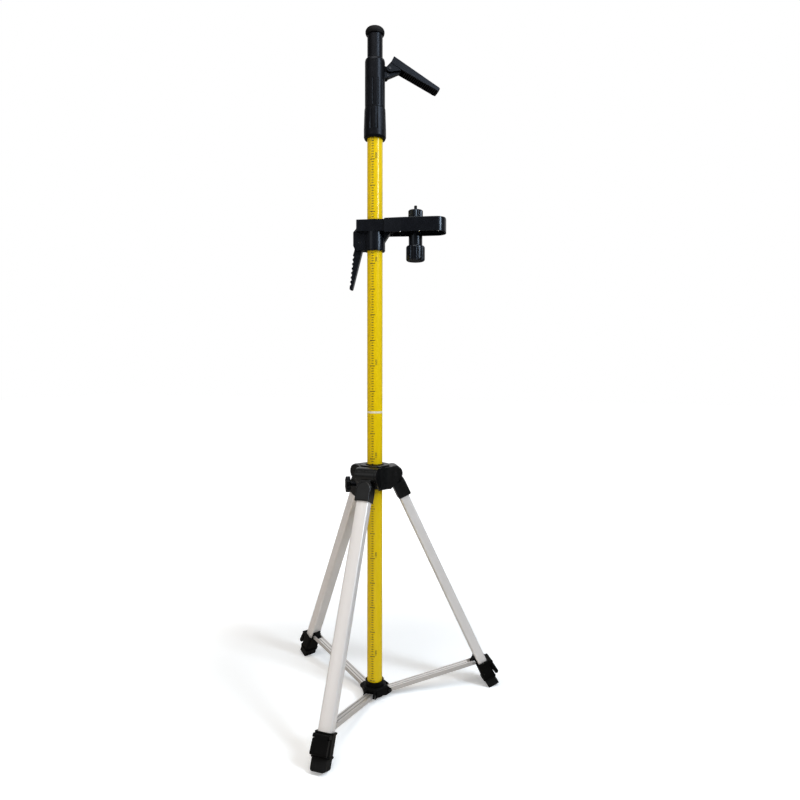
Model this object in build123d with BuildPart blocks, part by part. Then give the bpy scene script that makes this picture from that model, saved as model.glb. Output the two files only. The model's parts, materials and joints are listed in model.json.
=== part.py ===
from build123d import *
from math import cos, radians, sin, sqrt
import os

# Laser level tripod: a telescoping pole on three folding legs, with a jack lever at the top
# and an instrument bracket on the pole. Millimetres. The origin is on the floor under the pole,
# Z runs up the pole and one leg points along -Y. Azimuths are degrees round the pole from X.

# Fits and gaps
fixed_fit = 0.04        # radial gap between pieces fixed to each other
pin_fit = 0.05          # radial gap of a pin in a moving piece
slide_gap = 0.3         # gap between surfaces that slide past each other
side_gap = 0.3          # gap beside a moving piece

# Pole
pole_diameter = 30.5
tube_wall = 1.2
foot_tip_radius = 10.4
foot_cone = 6.0
foot_spigot = 20.0
lower_tube_length = 573.0
upper_tube_length = 565.0
coupler_flange = 4.0
coupler_reach = 28.0
coupler_wall = 2.5

# Lower hub
hub_pivot_radius = 29.5
hub_pivot_height = 14.0
hub_collar_radius = 19.0
hub_collar_top = 35.0
hub_core_bottom = 5.0
hub_relief_top = 10.3   # underside of the collar where a brace swings through
hub_drum_apothem = 23.5
hub_drum_bottom = 9.5
hub_drum_top = 26.0
hub_drum_chamfer = 2.5
hub_ear_radius = 4.2
hub_ear_thickness = 3.0
hub_ear_root = 3.0
hub_slot_height = 9.5
rivet_radius = 2.0
rivet_head_radius = 3.4
rivet_head_height = 1.3

# Legs
leg_azimuths = (-90.0, 30.0, 150.0)
leg_tilt = 25.25
leg_reach = 507.8
leg_width = 25.8
leg_depth = 20.2
leg_setback = 1.7       # how far the tube's middle lies behind the line through the pivot
leg_corner = 3.5
leg_corner_least = 0.6
leg_bulge = 1.4
leg_wall = 1.3
tube_start = 20.0
inner_leg_start = 96.0
inner_leg_wall = 1.2
inner_leg_gap = 0.4

# Crown
leg_pivot_radius = 38.0
barrel_radius = 15.6
barrel_length = 36.0
socket_length = 52.5
socket_width = 29.8
socket_front_wall = 4.6
socket_back_wall = 1.6
socket_round = 2.6
neck_width = 21.5
neck_depth = 20.0
crown_rise = 17.4
crown_drop = 30.5
crown_sleeve_radius = 21.0
crown_disc_radius = 29.0
crown_disc_thickness = 4.4
crown_disc_round = 1.4
cheek_thickness = 4.0
cheek_radius = 14.6
cheek_root = 8.0
crown_wedge_reach = 31.0
crown_wedge_width = 20.0
crown_wedge_inset = 4.6
bush_wall = 1.8
bush_lip = 1.2
leg_pin_radius = 3.0

# Crown screw
screw_azimuth = 210.0
screw_drop = 22.0
screw_boss_radius = 9.0
screw_boss_reach = 37.0
screw_stud_radius = 4.0
screw_knob_start = 49.6
screw_knob_length = 9.0
screw_knob_radius = 16.0
screw_knob_chamfer = 1.2
screw_lobe_radius = 4.6
screw_lobes = 6
screw_neck_radius = 5.5

# Leg locks and feet
lock_to_floor = 61.3
lock_length = 38.5
lock_wall = 3.0
lock_flange = 2.4
lock_lip = 1.6
tube_in_lock = 22.0
lever_pivot_below = 6.0
lever_trunnion = 1.6
lever_ear_radius = 3.2
lever_ear_thickness = 3.0
lever_knuckle_width = 24.4
lever_plate_width = 30.0
lever_plate_start = 6.6
lever_plate_end = 24.6
lever_plate_half = 3.0
lever_tip_half = 4.2
foot_grow = 1.2
foot_gap = 0.6
foot_overlap = 13.0
foot_short = 2.6
foot_round = 5.0
foot_toe = 2.0
foot_toe_height = 4.0
foot_waist_height = 15.0

# Braces
brace_width = 16.0
brace_depth = 8.5
brace_wall = 1.4
brace_setback = 12.5
brace_groove_depth = 0.5
brace_groove_width = 2.2
brace_groove_spread = 3.6
rivet_above_lock = 6.4
rivet_behind_leg = 7.1
lug_radius = 4.4
lug_base_length = 15.0
lug_base_thickness = 2.2

# Telescoping head
collar_drop = 34.0
collar_height = 58.2
collar_foot_radius = 20.0
collar_band_radius = 21.8
collar_top_radius = 20.5
collar_band_height = 16.0
collar_chamfer = 4.0
collar_lip = 4.0
collar_edge = 1.0
collar_cavity_radius = 18.4
collar_flutes = 12
collar_flute_radius = 3.2
collar_flute_centre = 23.2
sleeve_radius = 17.9
sleeve_below = 24.0
sleeve_above = 15.0
sleeve_slit = 1.6
extension_below = 460.0
housing_gap = 0.4
housing_height = 93.4
housing_radius = 19.6
housing_shoulder = 5.0
housing_shoulder_step = 0.7
housing_rim = 1.2
housing_seat = 18.0
housing_flutes = 12
flute_radius = 1.4
flute_depth = 0.8
flute_azimuth = 9.0
flute_bottom = 3.0
flute_top = 52.0
rod_diameter = 29.9
rod_wall = 2.2
rod_clear = 8.0
rod_above_housing = 53.5
cap_radius = 18.6
cap_under_radius = 17.4
cap_grip = 6.4
cap_rim = 3.4
cap_dome = 6.6
cap_nub_radius = 9.5
cap_nub_height = 1.0
cap_nub_slope = 0.5
cap_shoulder_out = 2.6
cap_shoulder_up = 4.6

# Jack lever and strut: X runs along the lever from its pivot, and Y out of its back
jack_azimuth = 34.0
jack_pivot_out = 27.0
jack_pivot_below = 16.5
jack_angle = 27.5
jack_width = 25.0
jack_wall = 2.2
jack_top_wall = 2.4
jack_behind = 3.4
jack_ahead = 103.9
jack_above = 24.8
jack_root_height = 14.3
jack_tip_height = 7.5
jack_cheek_end = 22.0
jack_cheek_radius = 6.4
jack_cheek_inset = 0.9
jack_tip_round = 4.0
jack_top_round = 1.0
jack_ribs = 17
jack_rib_start = 29.0
jack_rib_pitch = 4.2
jack_rib_thickness = 1.4
jack_pin_radius = 2.5
jack_lug_radius = 5.0
jack_lug_width = 12.0
strut_base_out = 23.8
strut_base_below = 29.5
strut_ahead = 18.0
strut_above = 8.5
strut_radius = 3.4
strut_width = 12.0
strut_pin_radius = 1.5
strut_ear_radius = 4.0
strut_ear_thickness = 3.0
strut_stub = 1.8
strut_stub_radius = 2.0

# Instrument bracket
bracket_azimuth = 11.0
bracket_top = 958.0
block_back = -34.0
block_front = 22.0
block_half_width = 20.5
block_thickness = 22.5
block_drop = 1.5
block_round = 3.0
bracket_collar_radius = 20.3
bracket_collar_length = 35.0
clamp_sleeve_wall = 2.0
clamp_sleeve_lip = 1.2
clamp_sleeve_lip_radius = 19.4
lever_house_half = 11.0
lever_house_root = 6.0
lever_house_out = 7.4
lever_house_top = 9.0
lever_house_low = 9.0
lever_house_foot = 3.5
clamp_slot_half = 5.6
clamp_slot_height = 28.0
clamp_pin_back = 28.5
clamp_pin_below = 44.0
clamp_pin_radius = 2.0
clamp_cam_radius = 7.4
clamp_pad_height = 14.0
clamp_heel_back = 35.4
clamp_heel_below = 69.0
clamp_heel_radius = 7.8
clamp_tip_back = 47.0
clamp_tip_below = 132.5
clamp_tip_radius = 3.1
clamp_teeth = 7
clamp_tooth_start = 3.0
clamp_tooth_pitch = 8.8
clamp_tooth_radius = 3.0
clamp_tooth_out = 1.0
gusset_reach = 8.0
gusset_drop = 23.7
gusset_half = 6.5
platform_end = 140.0
platform_root_half_width = 23.0
platform_taper_end = 55.0
platform_half_width = 25.0
platform_thickness = 27.0
platform_corner = 19.0
platform_wall = 3.0
platform_rib = 2.0
platform_rib_depth = 16.0
platform_ribs_x = (60.0, 101.0, 121.0)
platform_edge_round = 1.2
tongue_length = 34.0
tongue_half_width = 15.0
tongue_thickness = 12.0
platform_screw_radius = 2.0
platform_screw_head = 3.8
platform_screw_head_height = 2.6
platform_screw_half = 10.8
platform_screws_x = (31.0, 50.0)

# Instrument screw
mount_x = 80.5
boss_radius = 11.0
boss_drop = 5.6
mount_shaft_radius = 6.0
mount_neck_radius = 13.4
mount_neck_length = 18.1
mount_knob_radius = 18.4
mount_knob_length = 30.0
mount_knob_flutes = 10
mount_flute_radius = 3.4
mount_knob_round = 4.0
stud_collar_rise = 2.0
stud_collar_radius = 14.3
stud_collar_height = 15.0
stud_diameter = 6.35
stud_proud = 9.4
stud_depth = 50.0
stud_shank_radius = 3.6
stud_collar_chamfer = 1.0

# Sizes that follow
pole_radius = pole_diameter / 2
tube_bore = pole_radius - tube_wall
joint_height = foot_cone + lower_tube_length
upper_tube_bottom = joint_height + coupler_flange
pole_top = upper_tube_bottom + upper_tube_length
brace_slot_half = brace_width / 2 + side_gap
leg_pivot_height = leg_reach * cos(radians(leg_tilt))
crown_top = leg_pivot_height + crown_rise
crown_bottom = leg_pivot_height - crown_drop
bush_inner = pole_radius + slide_gap
bush_outer = bush_inner + bush_wall
cheek_offset = barrel_length / 2 + side_gap
lock_top = leg_reach - lock_to_floor
foot_top = lock_top + lock_length + foot_gap
inner_leg_inset = leg_wall + inner_leg_gap
leg_front = leg_depth / 2 - leg_setback
leg_back = leg_depth / 2 + leg_setback
foot_bottom = leg_reach - foot_short
rivet_along = lock_top - rivet_above_lock
rivet_back = -leg_back - rivet_behind_leg
lug_half_width = brace_width / 2 - brace_wall - side_gap
lug_base_along = lock_top - fixed_fit - lug_base_length / 2
lever_pivot_along = lock_top + lever_pivot_below
lever_inner = leg_front + lock_wall + side_gap
lever_pivot_out = lever_inner + lever_plate_half
lever_ear_offset = lever_knuckle_width / 2 + side_gap
collar_bottom = pole_top - collar_drop
collar_top = collar_bottom + collar_height
extension_radius = tube_bore - slide_gap
housing_bottom = collar_top + housing_gap
housing_top = housing_bottom + housing_height
rod_radius = rod_diameter / 2
rod_top = housing_top + rod_above_housing
cap_bottom = rod_top - cap_grip
jack_pivot_height = housing_top - jack_pivot_below
strut_base_height = housing_top - strut_base_below
sleeve_outer = bush_inner + clamp_sleeve_wall
bracket_bore = sleeve_outer + slide_gap
block_bottom = bracket_top - block_drop - block_thickness
bracket_bottom = block_bottom - bracket_collar_length
platform_bottom = bracket_top - platform_thickness
clamp_pin_height = bracket_top - clamp_pin_below
platform_under = bracket_top - platform_wall
tongue_bottom = platform_under - fixed_fit - tongue_thickness
boss_bottom = platform_bottom - boss_drop
neck_top = boss_bottom - side_gap
knob_top = neck_top - mount_neck_length
knob_bottom = knob_top - mount_knob_length
stud_collar_bottom = bracket_top + stud_collar_rise
stud_top = stud_collar_bottom + stud_collar_height + stud_proud
stud_radius = stud_diameter / 2

os.makedirs("parts", exist_ok=True)


def save(piece, name):
    """Labels a finished piece and writes it to its own file."""
    piece.part.label = name
    export_step(piece.part, "parts/" + name + ".step")


def polar(radius, azimuth, height):
    """The point at a distance from the pole axis, in a direction, at a height."""
    return Vector(radius * cos(radians(azimuth)), radius * sin(radians(azimuth)), height)


def radial_plane(azimuth):
    """Upright plane through the pole axis: local X runs outward and local Y up."""
    outward = polar(1, azimuth, 0)
    return Plane(origin=(0, 0, 0), x_dir=outward, z_dir=outward.cross(Vector(0, 0, 1)))


def level_plane(azimuth, height):
    """Level plane at a height: local X runs outward from the pole axis."""
    return Plane(origin=(0, 0, height), x_dir=polar(1, azimuth, 0), z_dir=(0, 0, 1))


def leg_plane(azimuth):
    """Plane at a leg's pivot: local Z runs down the leg and local X out of its front face."""
    outward = polar(1, azimuth, 0)
    up = Vector(0, 0, 1)
    along = outward * sin(radians(leg_tilt)) - up * cos(radians(leg_tilt))
    front = outward * cos(radians(leg_tilt)) + up * sin(radians(leg_tilt))
    return Plane(origin=polar(leg_pivot_radius, azimuth, leg_pivot_height), x_dir=front, z_dir=along)


def side_view(plane):
    """Side view of a leg: local X runs out of the front face and local Y up the leg."""
    return Plane(origin=plane.origin, x_dir=plane.x_dir, z_dir=plane.y_dir)


def front_view(plane):
    """Front view of a leg: local X runs across it and local Y down the leg."""
    return Plane(origin=plane.origin, x_dir=plane.y_dir, z_dir=plane.x_dir)


def leg_profile(section, grow):
    """Adds the leg's cross-section, grown on all sides, to a sketch."""
    half = leg_width / 2 + grow
    back = -leg_back - grow
    front = leg_front + grow
    with BuildLine() as outline:
        Polyline((front - leg_bulge, half), (back, half), (back, -half), (front - leg_bulge, -half))
        ThreePointArc((front - leg_bulge, -half), (front, 0), (front - leg_bulge, half))
    make_face(outline.edges())
    fillet(section.vertices(), radius=max(leg_corner + grow, leg_corner_least))


def rivet_point(azimuth):
    """The point of a leg's brace rivet."""
    plane = leg_plane(azimuth)
    return plane.origin + plane.z_dir * rivet_along + plane.x_dir * rivet_back


def platform_outline(section, inset):
    """Adds the platform's outline, drawn in on all sides, to a sketch: local X runs along the arm."""
    root = platform_root_half_width - inset
    half = platform_half_width - inset
    start = block_front + inset
    end = platform_end - inset
    with BuildLine() as outline:
        Polyline(
            (start, -root),
            (platform_taper_end, -half),
            (end, -half),
            (end, half),
            (platform_taper_end, half),
            (start, root),
            close=True,
        )
    make_face(outline.edges())
    fillet(section.vertices().sort_by(Axis.X)[-2:], radius=platform_corner - inset)


# Pole
with BuildPart() as lower_tube:
    with BuildSketch(Plane.XY.offset(foot_cone)):
        Circle(pole_radius)
        Circle(tube_bore, mode=Mode.SUBTRACT)
    extrude(amount=lower_tube_length)
save(lower_tube, "lower_tube")

with BuildPart() as upper_tube:
    with BuildSketch(Plane.XY.offset(upper_tube_bottom)):
        Circle(pole_radius)
        Circle(tube_bore, mode=Mode.SUBTRACT)
    extrude(amount=upper_tube_length)
save(upper_tube, "upper_tube")

spigot_radius = tube_bore - fixed_fit
with BuildPart() as tube_coupler:
    with BuildSketch(Plane.XY.offset(joint_height - coupler_reach)):
        Circle(spigot_radius)
    extrude(amount=2 * coupler_reach + coupler_flange)
    with BuildSketch(Plane.XY.offset(joint_height)):
        Circle(pole_radius)
    extrude(amount=coupler_flange)
    with BuildSketch(Plane.XY.offset(joint_height - coupler_reach)):
        Circle(spigot_radius - coupler_wall)
    extrude(amount=2 * coupler_reach + coupler_flange, mode=Mode.SUBTRACT)
save(tube_coupler, "tube_coupler")

with BuildPart() as pole_foot:
    with BuildSketch(Plane.XZ):
        with BuildLine():
            Polyline(
                (0, 0),
                (foot_tip_radius, 0),
                (pole_radius, foot_cone),
                (spigot_radius, foot_cone),
                (spigot_radius, foot_cone + foot_spigot),
                (0, foot_cone + foot_spigot),
                close=True,
            )
        make_face()
    revolve(axis=Axis.Z)
save(pole_foot, "pole_foot")

# Lower hub: a six-sided drum and collar, with a pair of ears for each brace
with BuildPart() as lower_hub:
    with BuildSketch(Plane.XY.offset(hub_drum_bottom)):
        RegularPolygon(hub_drum_apothem, 6, major_radius=False)
    extrude(amount=hub_drum_top - hub_drum_bottom)
    chamfer(lower_hub.faces().sort_by(Axis.Z)[-1].edges(), length=hub_drum_chamfer)
    with BuildSketch(Plane.XY.offset(hub_core_bottom)):
        Circle(hub_collar_radius)
    extrude(amount=hub_collar_top - hub_core_bottom)
    for azimuth in leg_azimuths:
        for side in (-1, 1):
            with BuildSketch(radial_plane(azimuth).offset(side * brace_slot_half)):
                with Locations((hub_pivot_radius, hub_pivot_height)):
                    Circle(hub_ear_radius)
                with Locations((hub_collar_radius, (hub_core_bottom + hub_drum_top) / 2)):
                    Rectangle(2 * hub_ear_root, hub_drum_top - hub_core_bottom)
                make_hull()
                with Locations((hub_pivot_radius, hub_pivot_height)):
                    Circle(rivet_radius + fixed_fit, mode=Mode.SUBTRACT)
            extrude(amount=side * hub_ear_thickness)
        with BuildSketch(level_plane(azimuth, hub_drum_bottom)):
            with Locations((hub_collar_radius + side_gap + hub_drum_apothem / 2, 0)):
                Rectangle(hub_drum_apothem, 2 * brace_slot_half)
        extrude(amount=hub_slot_height, mode=Mode.SUBTRACT)
        with BuildSketch(level_plane(azimuth, hub_core_bottom)):
            with Locations((hub_drum_apothem / 2, 0)):
                Rectangle(hub_drum_apothem, 2 * brace_slot_half)
        extrude(amount=hub_relief_top - hub_core_bottom, mode=Mode.SUBTRACT)
    with BuildSketch(Plane.XY.offset(hub_core_bottom)):
        Circle(pole_radius + fixed_fit)
    extrude(amount=hub_collar_top - hub_core_bottom, mode=Mode.SUBTRACT)
save(lower_hub, "lower_hub")

with BuildPart() as hub_rivets:
    for azimuth in leg_azimuths:
        for side in (-1, 1):
            with BuildSketch(radial_plane(azimuth).offset(side * brace_slot_half)):
                with Locations((hub_pivot_radius, hub_pivot_height)):
                    Circle(rivet_radius)
            extrude(amount=side * hub_ear_thickness)
            with BuildSketch(radial_plane(azimuth).offset(side * (brace_slot_half + hub_ear_thickness))):
                with Locations((hub_pivot_radius, hub_pivot_height)):
                    Circle(rivet_head_radius)
            extrude(amount=side * rivet_head_height)
save(hub_rivets, "hub_rivets")

# Crown: sleeve, top disc, three pairs of cheeks with wedges between them, and the screw boss
crown_height = crown_top - crown_bottom
cheek_top = crown_top - crown_disc_thickness
screw_plane = Plane(
    origin=(0, 0, leg_pivot_height - screw_drop),
    x_dir=(0, 0, 1),
    z_dir=polar(1, screw_azimuth, 0),
)
with BuildPart() as crown:
    with BuildSketch(Plane.XY.offset(crown_top - crown_disc_thickness)):
        Circle(crown_disc_radius)
    extrude(amount=crown_disc_thickness)
    fillet(crown.faces().sort_by(Axis.Z)[-1].edges(), radius=crown_disc_round)
    with BuildSketch(Plane.XY.offset(crown_bottom)):
        Circle(crown_sleeve_radius)
    extrude(amount=crown_height)
    for azimuth in leg_azimuths:
        for side in (-1, 1):
            with BuildSketch(radial_plane(azimuth).offset(side * cheek_offset)):
                with Locations((leg_pivot_radius, leg_pivot_height)):
                    Circle(cheek_radius)
                with Locations((crown_sleeve_radius, (cheek_top + crown_bottom) / 2)):
                    Rectangle(2 * cheek_root, cheek_top - crown_bottom)
                make_hull()
            extrude(amount=side * cheek_thickness)
        with BuildSketch(Plane.XY.offset(crown_bottom)):
            with Locations(polar(crown_wedge_reach / 2, azimuth + 60, 0)):
                Rectangle(crown_wedge_reach, crown_wedge_width, rotation=azimuth + 60)
        extrude(amount=crown_height - crown_wedge_inset)
    with BuildSketch(screw_plane.offset(crown_sleeve_radius)):
        Circle(screw_boss_radius)
    extrude(amount=screw_boss_reach - crown_sleeve_radius)
    with BuildSketch(screw_plane):
        Circle(screw_stud_radius + pin_fit)
    extrude(amount=screw_boss_reach, mode=Mode.SUBTRACT)
    with BuildSketch(Plane.XY.offset(crown_bottom)):
        Circle(bush_outer + fixed_fit)
    extrude(amount=crown_height, mode=Mode.SUBTRACT)
    for azimuth in leg_azimuths:
        with BuildSketch(radial_plane(azimuth)):
            with Locations((leg_pivot_radius, leg_pivot_height)):
                Circle(leg_pin_radius + fixed_fit)
        extrude(amount=cheek_offset + cheek_thickness, both=True, mode=Mode.SUBTRACT)
save(crown, "crown")

with BuildPart() as crown_bush:
    with BuildSketch(Plane.XY.offset(crown_bottom)):
        Circle(bush_outer)
    extrude(amount=crown_height)
    with BuildSketch(Plane.XY.offset(crown_top)):
        Circle(bush_outer + bush_lip)
    extrude(amount=bush_lip)
    with BuildSketch(Plane.XY.offset(crown_bottom)):
        Circle(bush_inner)
    extrude(amount=crown_height + bush_lip, mode=Mode.SUBTRACT)
save(crown_bush, "crown_bush")

with BuildPart() as leg_pins:
    for azimuth in leg_azimuths:
        with BuildSketch(radial_plane(azimuth)):
            with Locations((leg_pivot_radius, leg_pivot_height)):
                Circle(leg_pin_radius)
        extrude(amount=cheek_offset + cheek_thickness, both=True)
save(leg_pins, "leg_pins")

with BuildPart() as crown_stud:
    with BuildSketch(screw_plane.offset(bush_outer + slide_gap)):
        Circle(screw_stud_radius)
    extrude(amount=screw_knob_start + screw_knob_length / 2 - bush_outer - slide_gap)
save(crown_stud, "crown_stud")

with BuildPart() as crown_knob:
    with BuildSketch(screw_plane.offset(screw_knob_start)):
        Circle(screw_knob_radius - screw_lobe_radius / 2)
        with PolarLocations(screw_knob_radius - screw_lobe_radius, screw_lobes):
            Circle(screw_lobe_radius)
    extrude(amount=screw_knob_length)
    knob_ends = crown_knob.faces().filter_by(GeomType.PLANE).sort_by(SortBy.AREA)[-2:]
    chamfer(knob_ends.edges(), length=screw_knob_chamfer)
    with BuildSketch(screw_plane.offset(screw_boss_reach + side_gap)):
        Circle(screw_neck_radius)
    extrude(amount=screw_knob_start - screw_boss_reach - side_gap)
    with BuildSketch(screw_plane.offset(screw_boss_reach)):
        Circle(screw_stud_radius + fixed_fit)
    extrude(amount=screw_knob_start + screw_knob_length / 2 - screw_boss_reach, mode=Mode.SUBTRACT)
save(crown_knob, "crown_knob")

# Legs, each with its socket, tubes, brace lug, lock, foot and brace
for number, azimuth in enumerate(leg_azimuths, start=1):
    plane = leg_plane(azimuth)
    side_plane = side_view(plane)
    outward_axis = Axis(plane.origin, plane.x_dir)
    across_plane = Plane(origin=plane.origin, x_dir=plane.y_dir, z_dir=-plane.x_dir)

    with BuildPart() as leg_socket:
        with BuildSketch(front_view(plane).offset(-leg_back - socket_back_wall)):
            with Locations((0, (socket_width + socket_length) / 2)):
                Rectangle(socket_width, socket_length - socket_width)
            with Locations((0, socket_width)):
                Circle(socket_width / 2)
        extrude(amount=leg_depth + socket_back_wall + socket_front_wall)
        fillet(leg_socket.faces().sort_by(outward_axis)[-1].edges(), radius=socket_round)
        with BuildSketch(plane):
            Rectangle(neck_depth, neck_width)
        extrude(amount=socket_width)
        with BuildSketch(side_plane):
            Circle(barrel_radius)
        extrude(amount=barrel_length / 2, both=True)
        with BuildSketch(plane.offset(tube_start)) as section:
            leg_profile(section, fixed_fit)
        extrude(amount=socket_length - tube_start, mode=Mode.SUBTRACT)
        with BuildSketch(side_plane):
            Circle(leg_pin_radius + pin_fit)
        extrude(amount=barrel_length / 2, both=True, mode=Mode.SUBTRACT)
    save(leg_socket, "leg_socket_" + str(number))

    tube_length = lock_top + tube_in_lock - tube_start
    with BuildPart() as leg_tube:
        with BuildSketch(plane.offset(tube_start)) as section:
            leg_profile(section, 0)
        extrude(amount=tube_length)
        with BuildSketch(plane.offset(tube_start)) as section:
            leg_profile(section, -leg_wall)
        extrude(amount=tube_length, mode=Mode.SUBTRACT)
    save(leg_tube, "leg_tube_" + str(number))

    with BuildPart() as brace_lug:
        with BuildSketch(side_plane):
            with Locations((rivet_back, -rivet_along)):
                Circle(lug_radius)
            with Locations((-leg_back - lug_base_thickness / 2, -lug_base_along)):
                Rectangle(lug_base_thickness, lug_base_length)
            make_hull()
            with Locations((rivet_back, -rivet_along)):
                Circle(rivet_radius + fixed_fit, mode=Mode.SUBTRACT)
        extrude(amount=lug_half_width, both=True)
        with BuildSketch(side_plane):
            with Locations((-leg_back - lug_base_thickness / 2, -lug_base_along)):
                Rectangle(lug_base_thickness, lug_base_length)
        extrude(amount=leg_width / 2 - leg_corner, both=True)
    save(brace_lug, "brace_lug_" + str(number))

    with BuildPart() as brace_rivet:
        with BuildSketch(side_plane):
            with Locations((rivet_back, -rivet_along)):
                Circle(rivet_radius)
        extrude(amount=brace_width / 2 + side_gap, both=True)
        for side in (-1, 1):
            with BuildSketch(side_plane.offset(side * (brace_width / 2 + side_gap))):
                with Locations((rivet_back, -rivet_along)):
                    Circle(rivet_head_radius)
            extrude(amount=side * rivet_head_height)
    save(brace_rivet, "brace_rivet_" + str(number))

    with BuildPart() as lock_housing:
        with BuildSketch(plane.offset(lock_top)) as section:
            leg_profile(section, lock_wall)
        extrude(amount=lock_length)
        for rim_start in (lock_top, lock_top + lock_length - lock_flange):
            with BuildSketch(plane.offset(rim_start)) as section:
                leg_profile(section, lock_wall + lock_lip)
                with Locations((lever_inner - side_gap + lock_lip, 0)):
                    Rectangle(2 * lock_lip, 2 * leg_width, mode=Mode.SUBTRACT)
            extrude(amount=lock_flange)
        for side in (-1, 1):
            with BuildSketch(side_plane.offset(side * lever_ear_offset)):
                with Locations((lever_pivot_out, -lever_pivot_along)):
                    Circle(lever_ear_radius)
                with Locations((leg_front / 2, -lever_pivot_along)):
                    Rectangle(leg_front, 2 * lever_ear_radius)
                make_hull()
                with Locations((lever_pivot_out, -lever_pivot_along)):
                    Circle(lever_trunnion + pin_fit, mode=Mode.SUBTRACT)
            extrude(amount=side * lever_ear_thickness)
        with BuildSketch(plane.offset(lock_top)) as section:
            leg_profile(section, fixed_fit)
        extrude(amount=tube_in_lock, mode=Mode.SUBTRACT)
        with BuildSketch(plane.offset(lock_top)) as section:
            leg_profile(section, slide_gap - inner_leg_inset)
        extrude(amount=lock_length, mode=Mode.SUBTRACT)
    save(lock_housing, "lock_housing_" + str(number))

    with BuildPart() as lock_lever:
        with BuildSketch(side_plane):
            with Locations((lever_pivot_out, -lever_pivot_along - lever_plate_start / 2)):
                SlotCenterToCenter(lever_plate_start, 2 * lever_plate_half, rotation=90)
        extrude(amount=lever_knuckle_width / 2, both=True)
        with BuildSketch(side_plane):
            with Locations((lever_pivot_out, -lever_pivot_along - lever_plate_start)):
                Circle(lever_plate_half)
            with Locations((lever_inner + lever_tip_half, -lever_pivot_along - lever_plate_end)):
                Circle(lever_tip_half)
            make_hull()
        extrude(amount=lever_plate_width / 2, both=True)
        with BuildSketch(side_plane):
            with Locations((lever_pivot_out, -lever_pivot_along)):
                Circle(lever_trunnion)
        extrude(amount=lever_ear_offset + lever_ear_thickness, both=True)
    save(lock_lever, "lock_lever_" + str(number))

    foot_length = foot_bottom - foot_top
    inner_leg_end = foot_top + foot_overlap
    with BuildPart() as inner_leg:
        with BuildSketch(plane.offset(inner_leg_start)) as section:
            leg_profile(section, -inner_leg_inset)
        extrude(amount=inner_leg_end - inner_leg_start)
        with BuildSketch(plane.offset(inner_leg_start)) as section:
            leg_profile(section, -inner_leg_inset - inner_leg_wall)
        extrude(amount=inner_leg_end - inner_leg_start, mode=Mode.SUBTRACT)
    save(inner_leg, "inner_leg_" + str(number))

    foot_front = leg_front + foot_grow
    foot_back = -leg_back - foot_grow
    with BuildPart() as foot:
        with BuildSketch(plane.offset(foot_top)) as section:
            leg_profile(section, foot_grow + foot_toe)
        extrude(amount=foot_length)
        with BuildSketch(side_plane) as outline:
            with BuildLine():
                Polyline(
                    (foot_back, -foot_top),
                    (foot_front, -foot_top),
                    (foot_front, foot_waist_height - foot_bottom),
                    (foot_front + foot_toe, foot_toe_height - foot_bottom),
                    (foot_front + foot_toe, -foot_bottom),
                    (foot_back, -foot_bottom),
                    close=True,
                )
            make_face()
            fillet(outline.vertices().group_by(Axis.Y)[0].sort_by(Axis.X)[0], radius=foot_round)
        extrude(amount=leg_width, both=True, mode=Mode.INTERSECT)
        with BuildSketch(across_plane) as outline:
            with Locations((0, -foot_top - foot_length / 2)):
                Rectangle(leg_width + 2 * foot_grow, foot_length)
            fillet(outline.vertices().group_by(Axis.Y)[0], radius=foot_round)
        extrude(amount=leg_width, both=True, mode=Mode.INTERSECT)
        with BuildSketch(plane.offset(foot_top)) as section:
            leg_profile(section, fixed_fit - inner_leg_inset)
        extrude(amount=foot_overlap, mode=Mode.SUBTRACT)
        with BuildSketch(Plane.XY):
            with Locations(polar(leg_reach / 2, azimuth, 0)):
                Rectangle(leg_reach, leg_reach)
        extrude(amount=-leg_depth, mode=Mode.SUBTRACT)
    save(foot, "foot_" + str(number))

    hub_point = polar(hub_pivot_radius, azimuth, hub_pivot_height)
    brace_run = rivet_point(azimuth) - hub_point
    brace_length = brace_run.length
    brace_plane = Plane(origin=hub_point, x_dir=brace_run, z_dir=radial_plane(azimuth).z_dir)
    web_under = brace_depth / 2 - brace_wall
    with BuildPart() as brace:
        with BuildSketch(brace_plane):
            with Locations((brace_length / 2, 0)):
                SlotCenterToCenter(brace_length, brace_depth)
        extrude(amount=brace_width / 2, both=True)
        with BuildSketch(brace_plane):
            with Locations((brace_length / 2, web_under - brace_depth / 2)):
                Rectangle(brace_length + 2 * brace_depth, brace_depth)
            with Locations((brace_length, 0)):
                Rectangle(2 * brace_setback, 2 * brace_depth)
        extrude(amount=brace_width / 2 - brace_wall, both=True, mode=Mode.SUBTRACT)
        for side in (-1, 1):
            with BuildSketch(brace_plane.offset(side * brace_groove_spread)):
                with Locations((brace_length / 2, brace_depth / 2)):
                    Rectangle(brace_length + 2 * brace_depth, 2 * brace_groove_depth)
            extrude(amount=brace_groove_width / 2, both=True, mode=Mode.SUBTRACT)
        with BuildSketch(brace_plane):
            with Locations((0, 0), (brace_length, 0)):
                Circle(rivet_radius + pin_fit)
        extrude(amount=brace_width, both=True, mode=Mode.SUBTRACT)
    save(brace, "brace_" + str(number))

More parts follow.
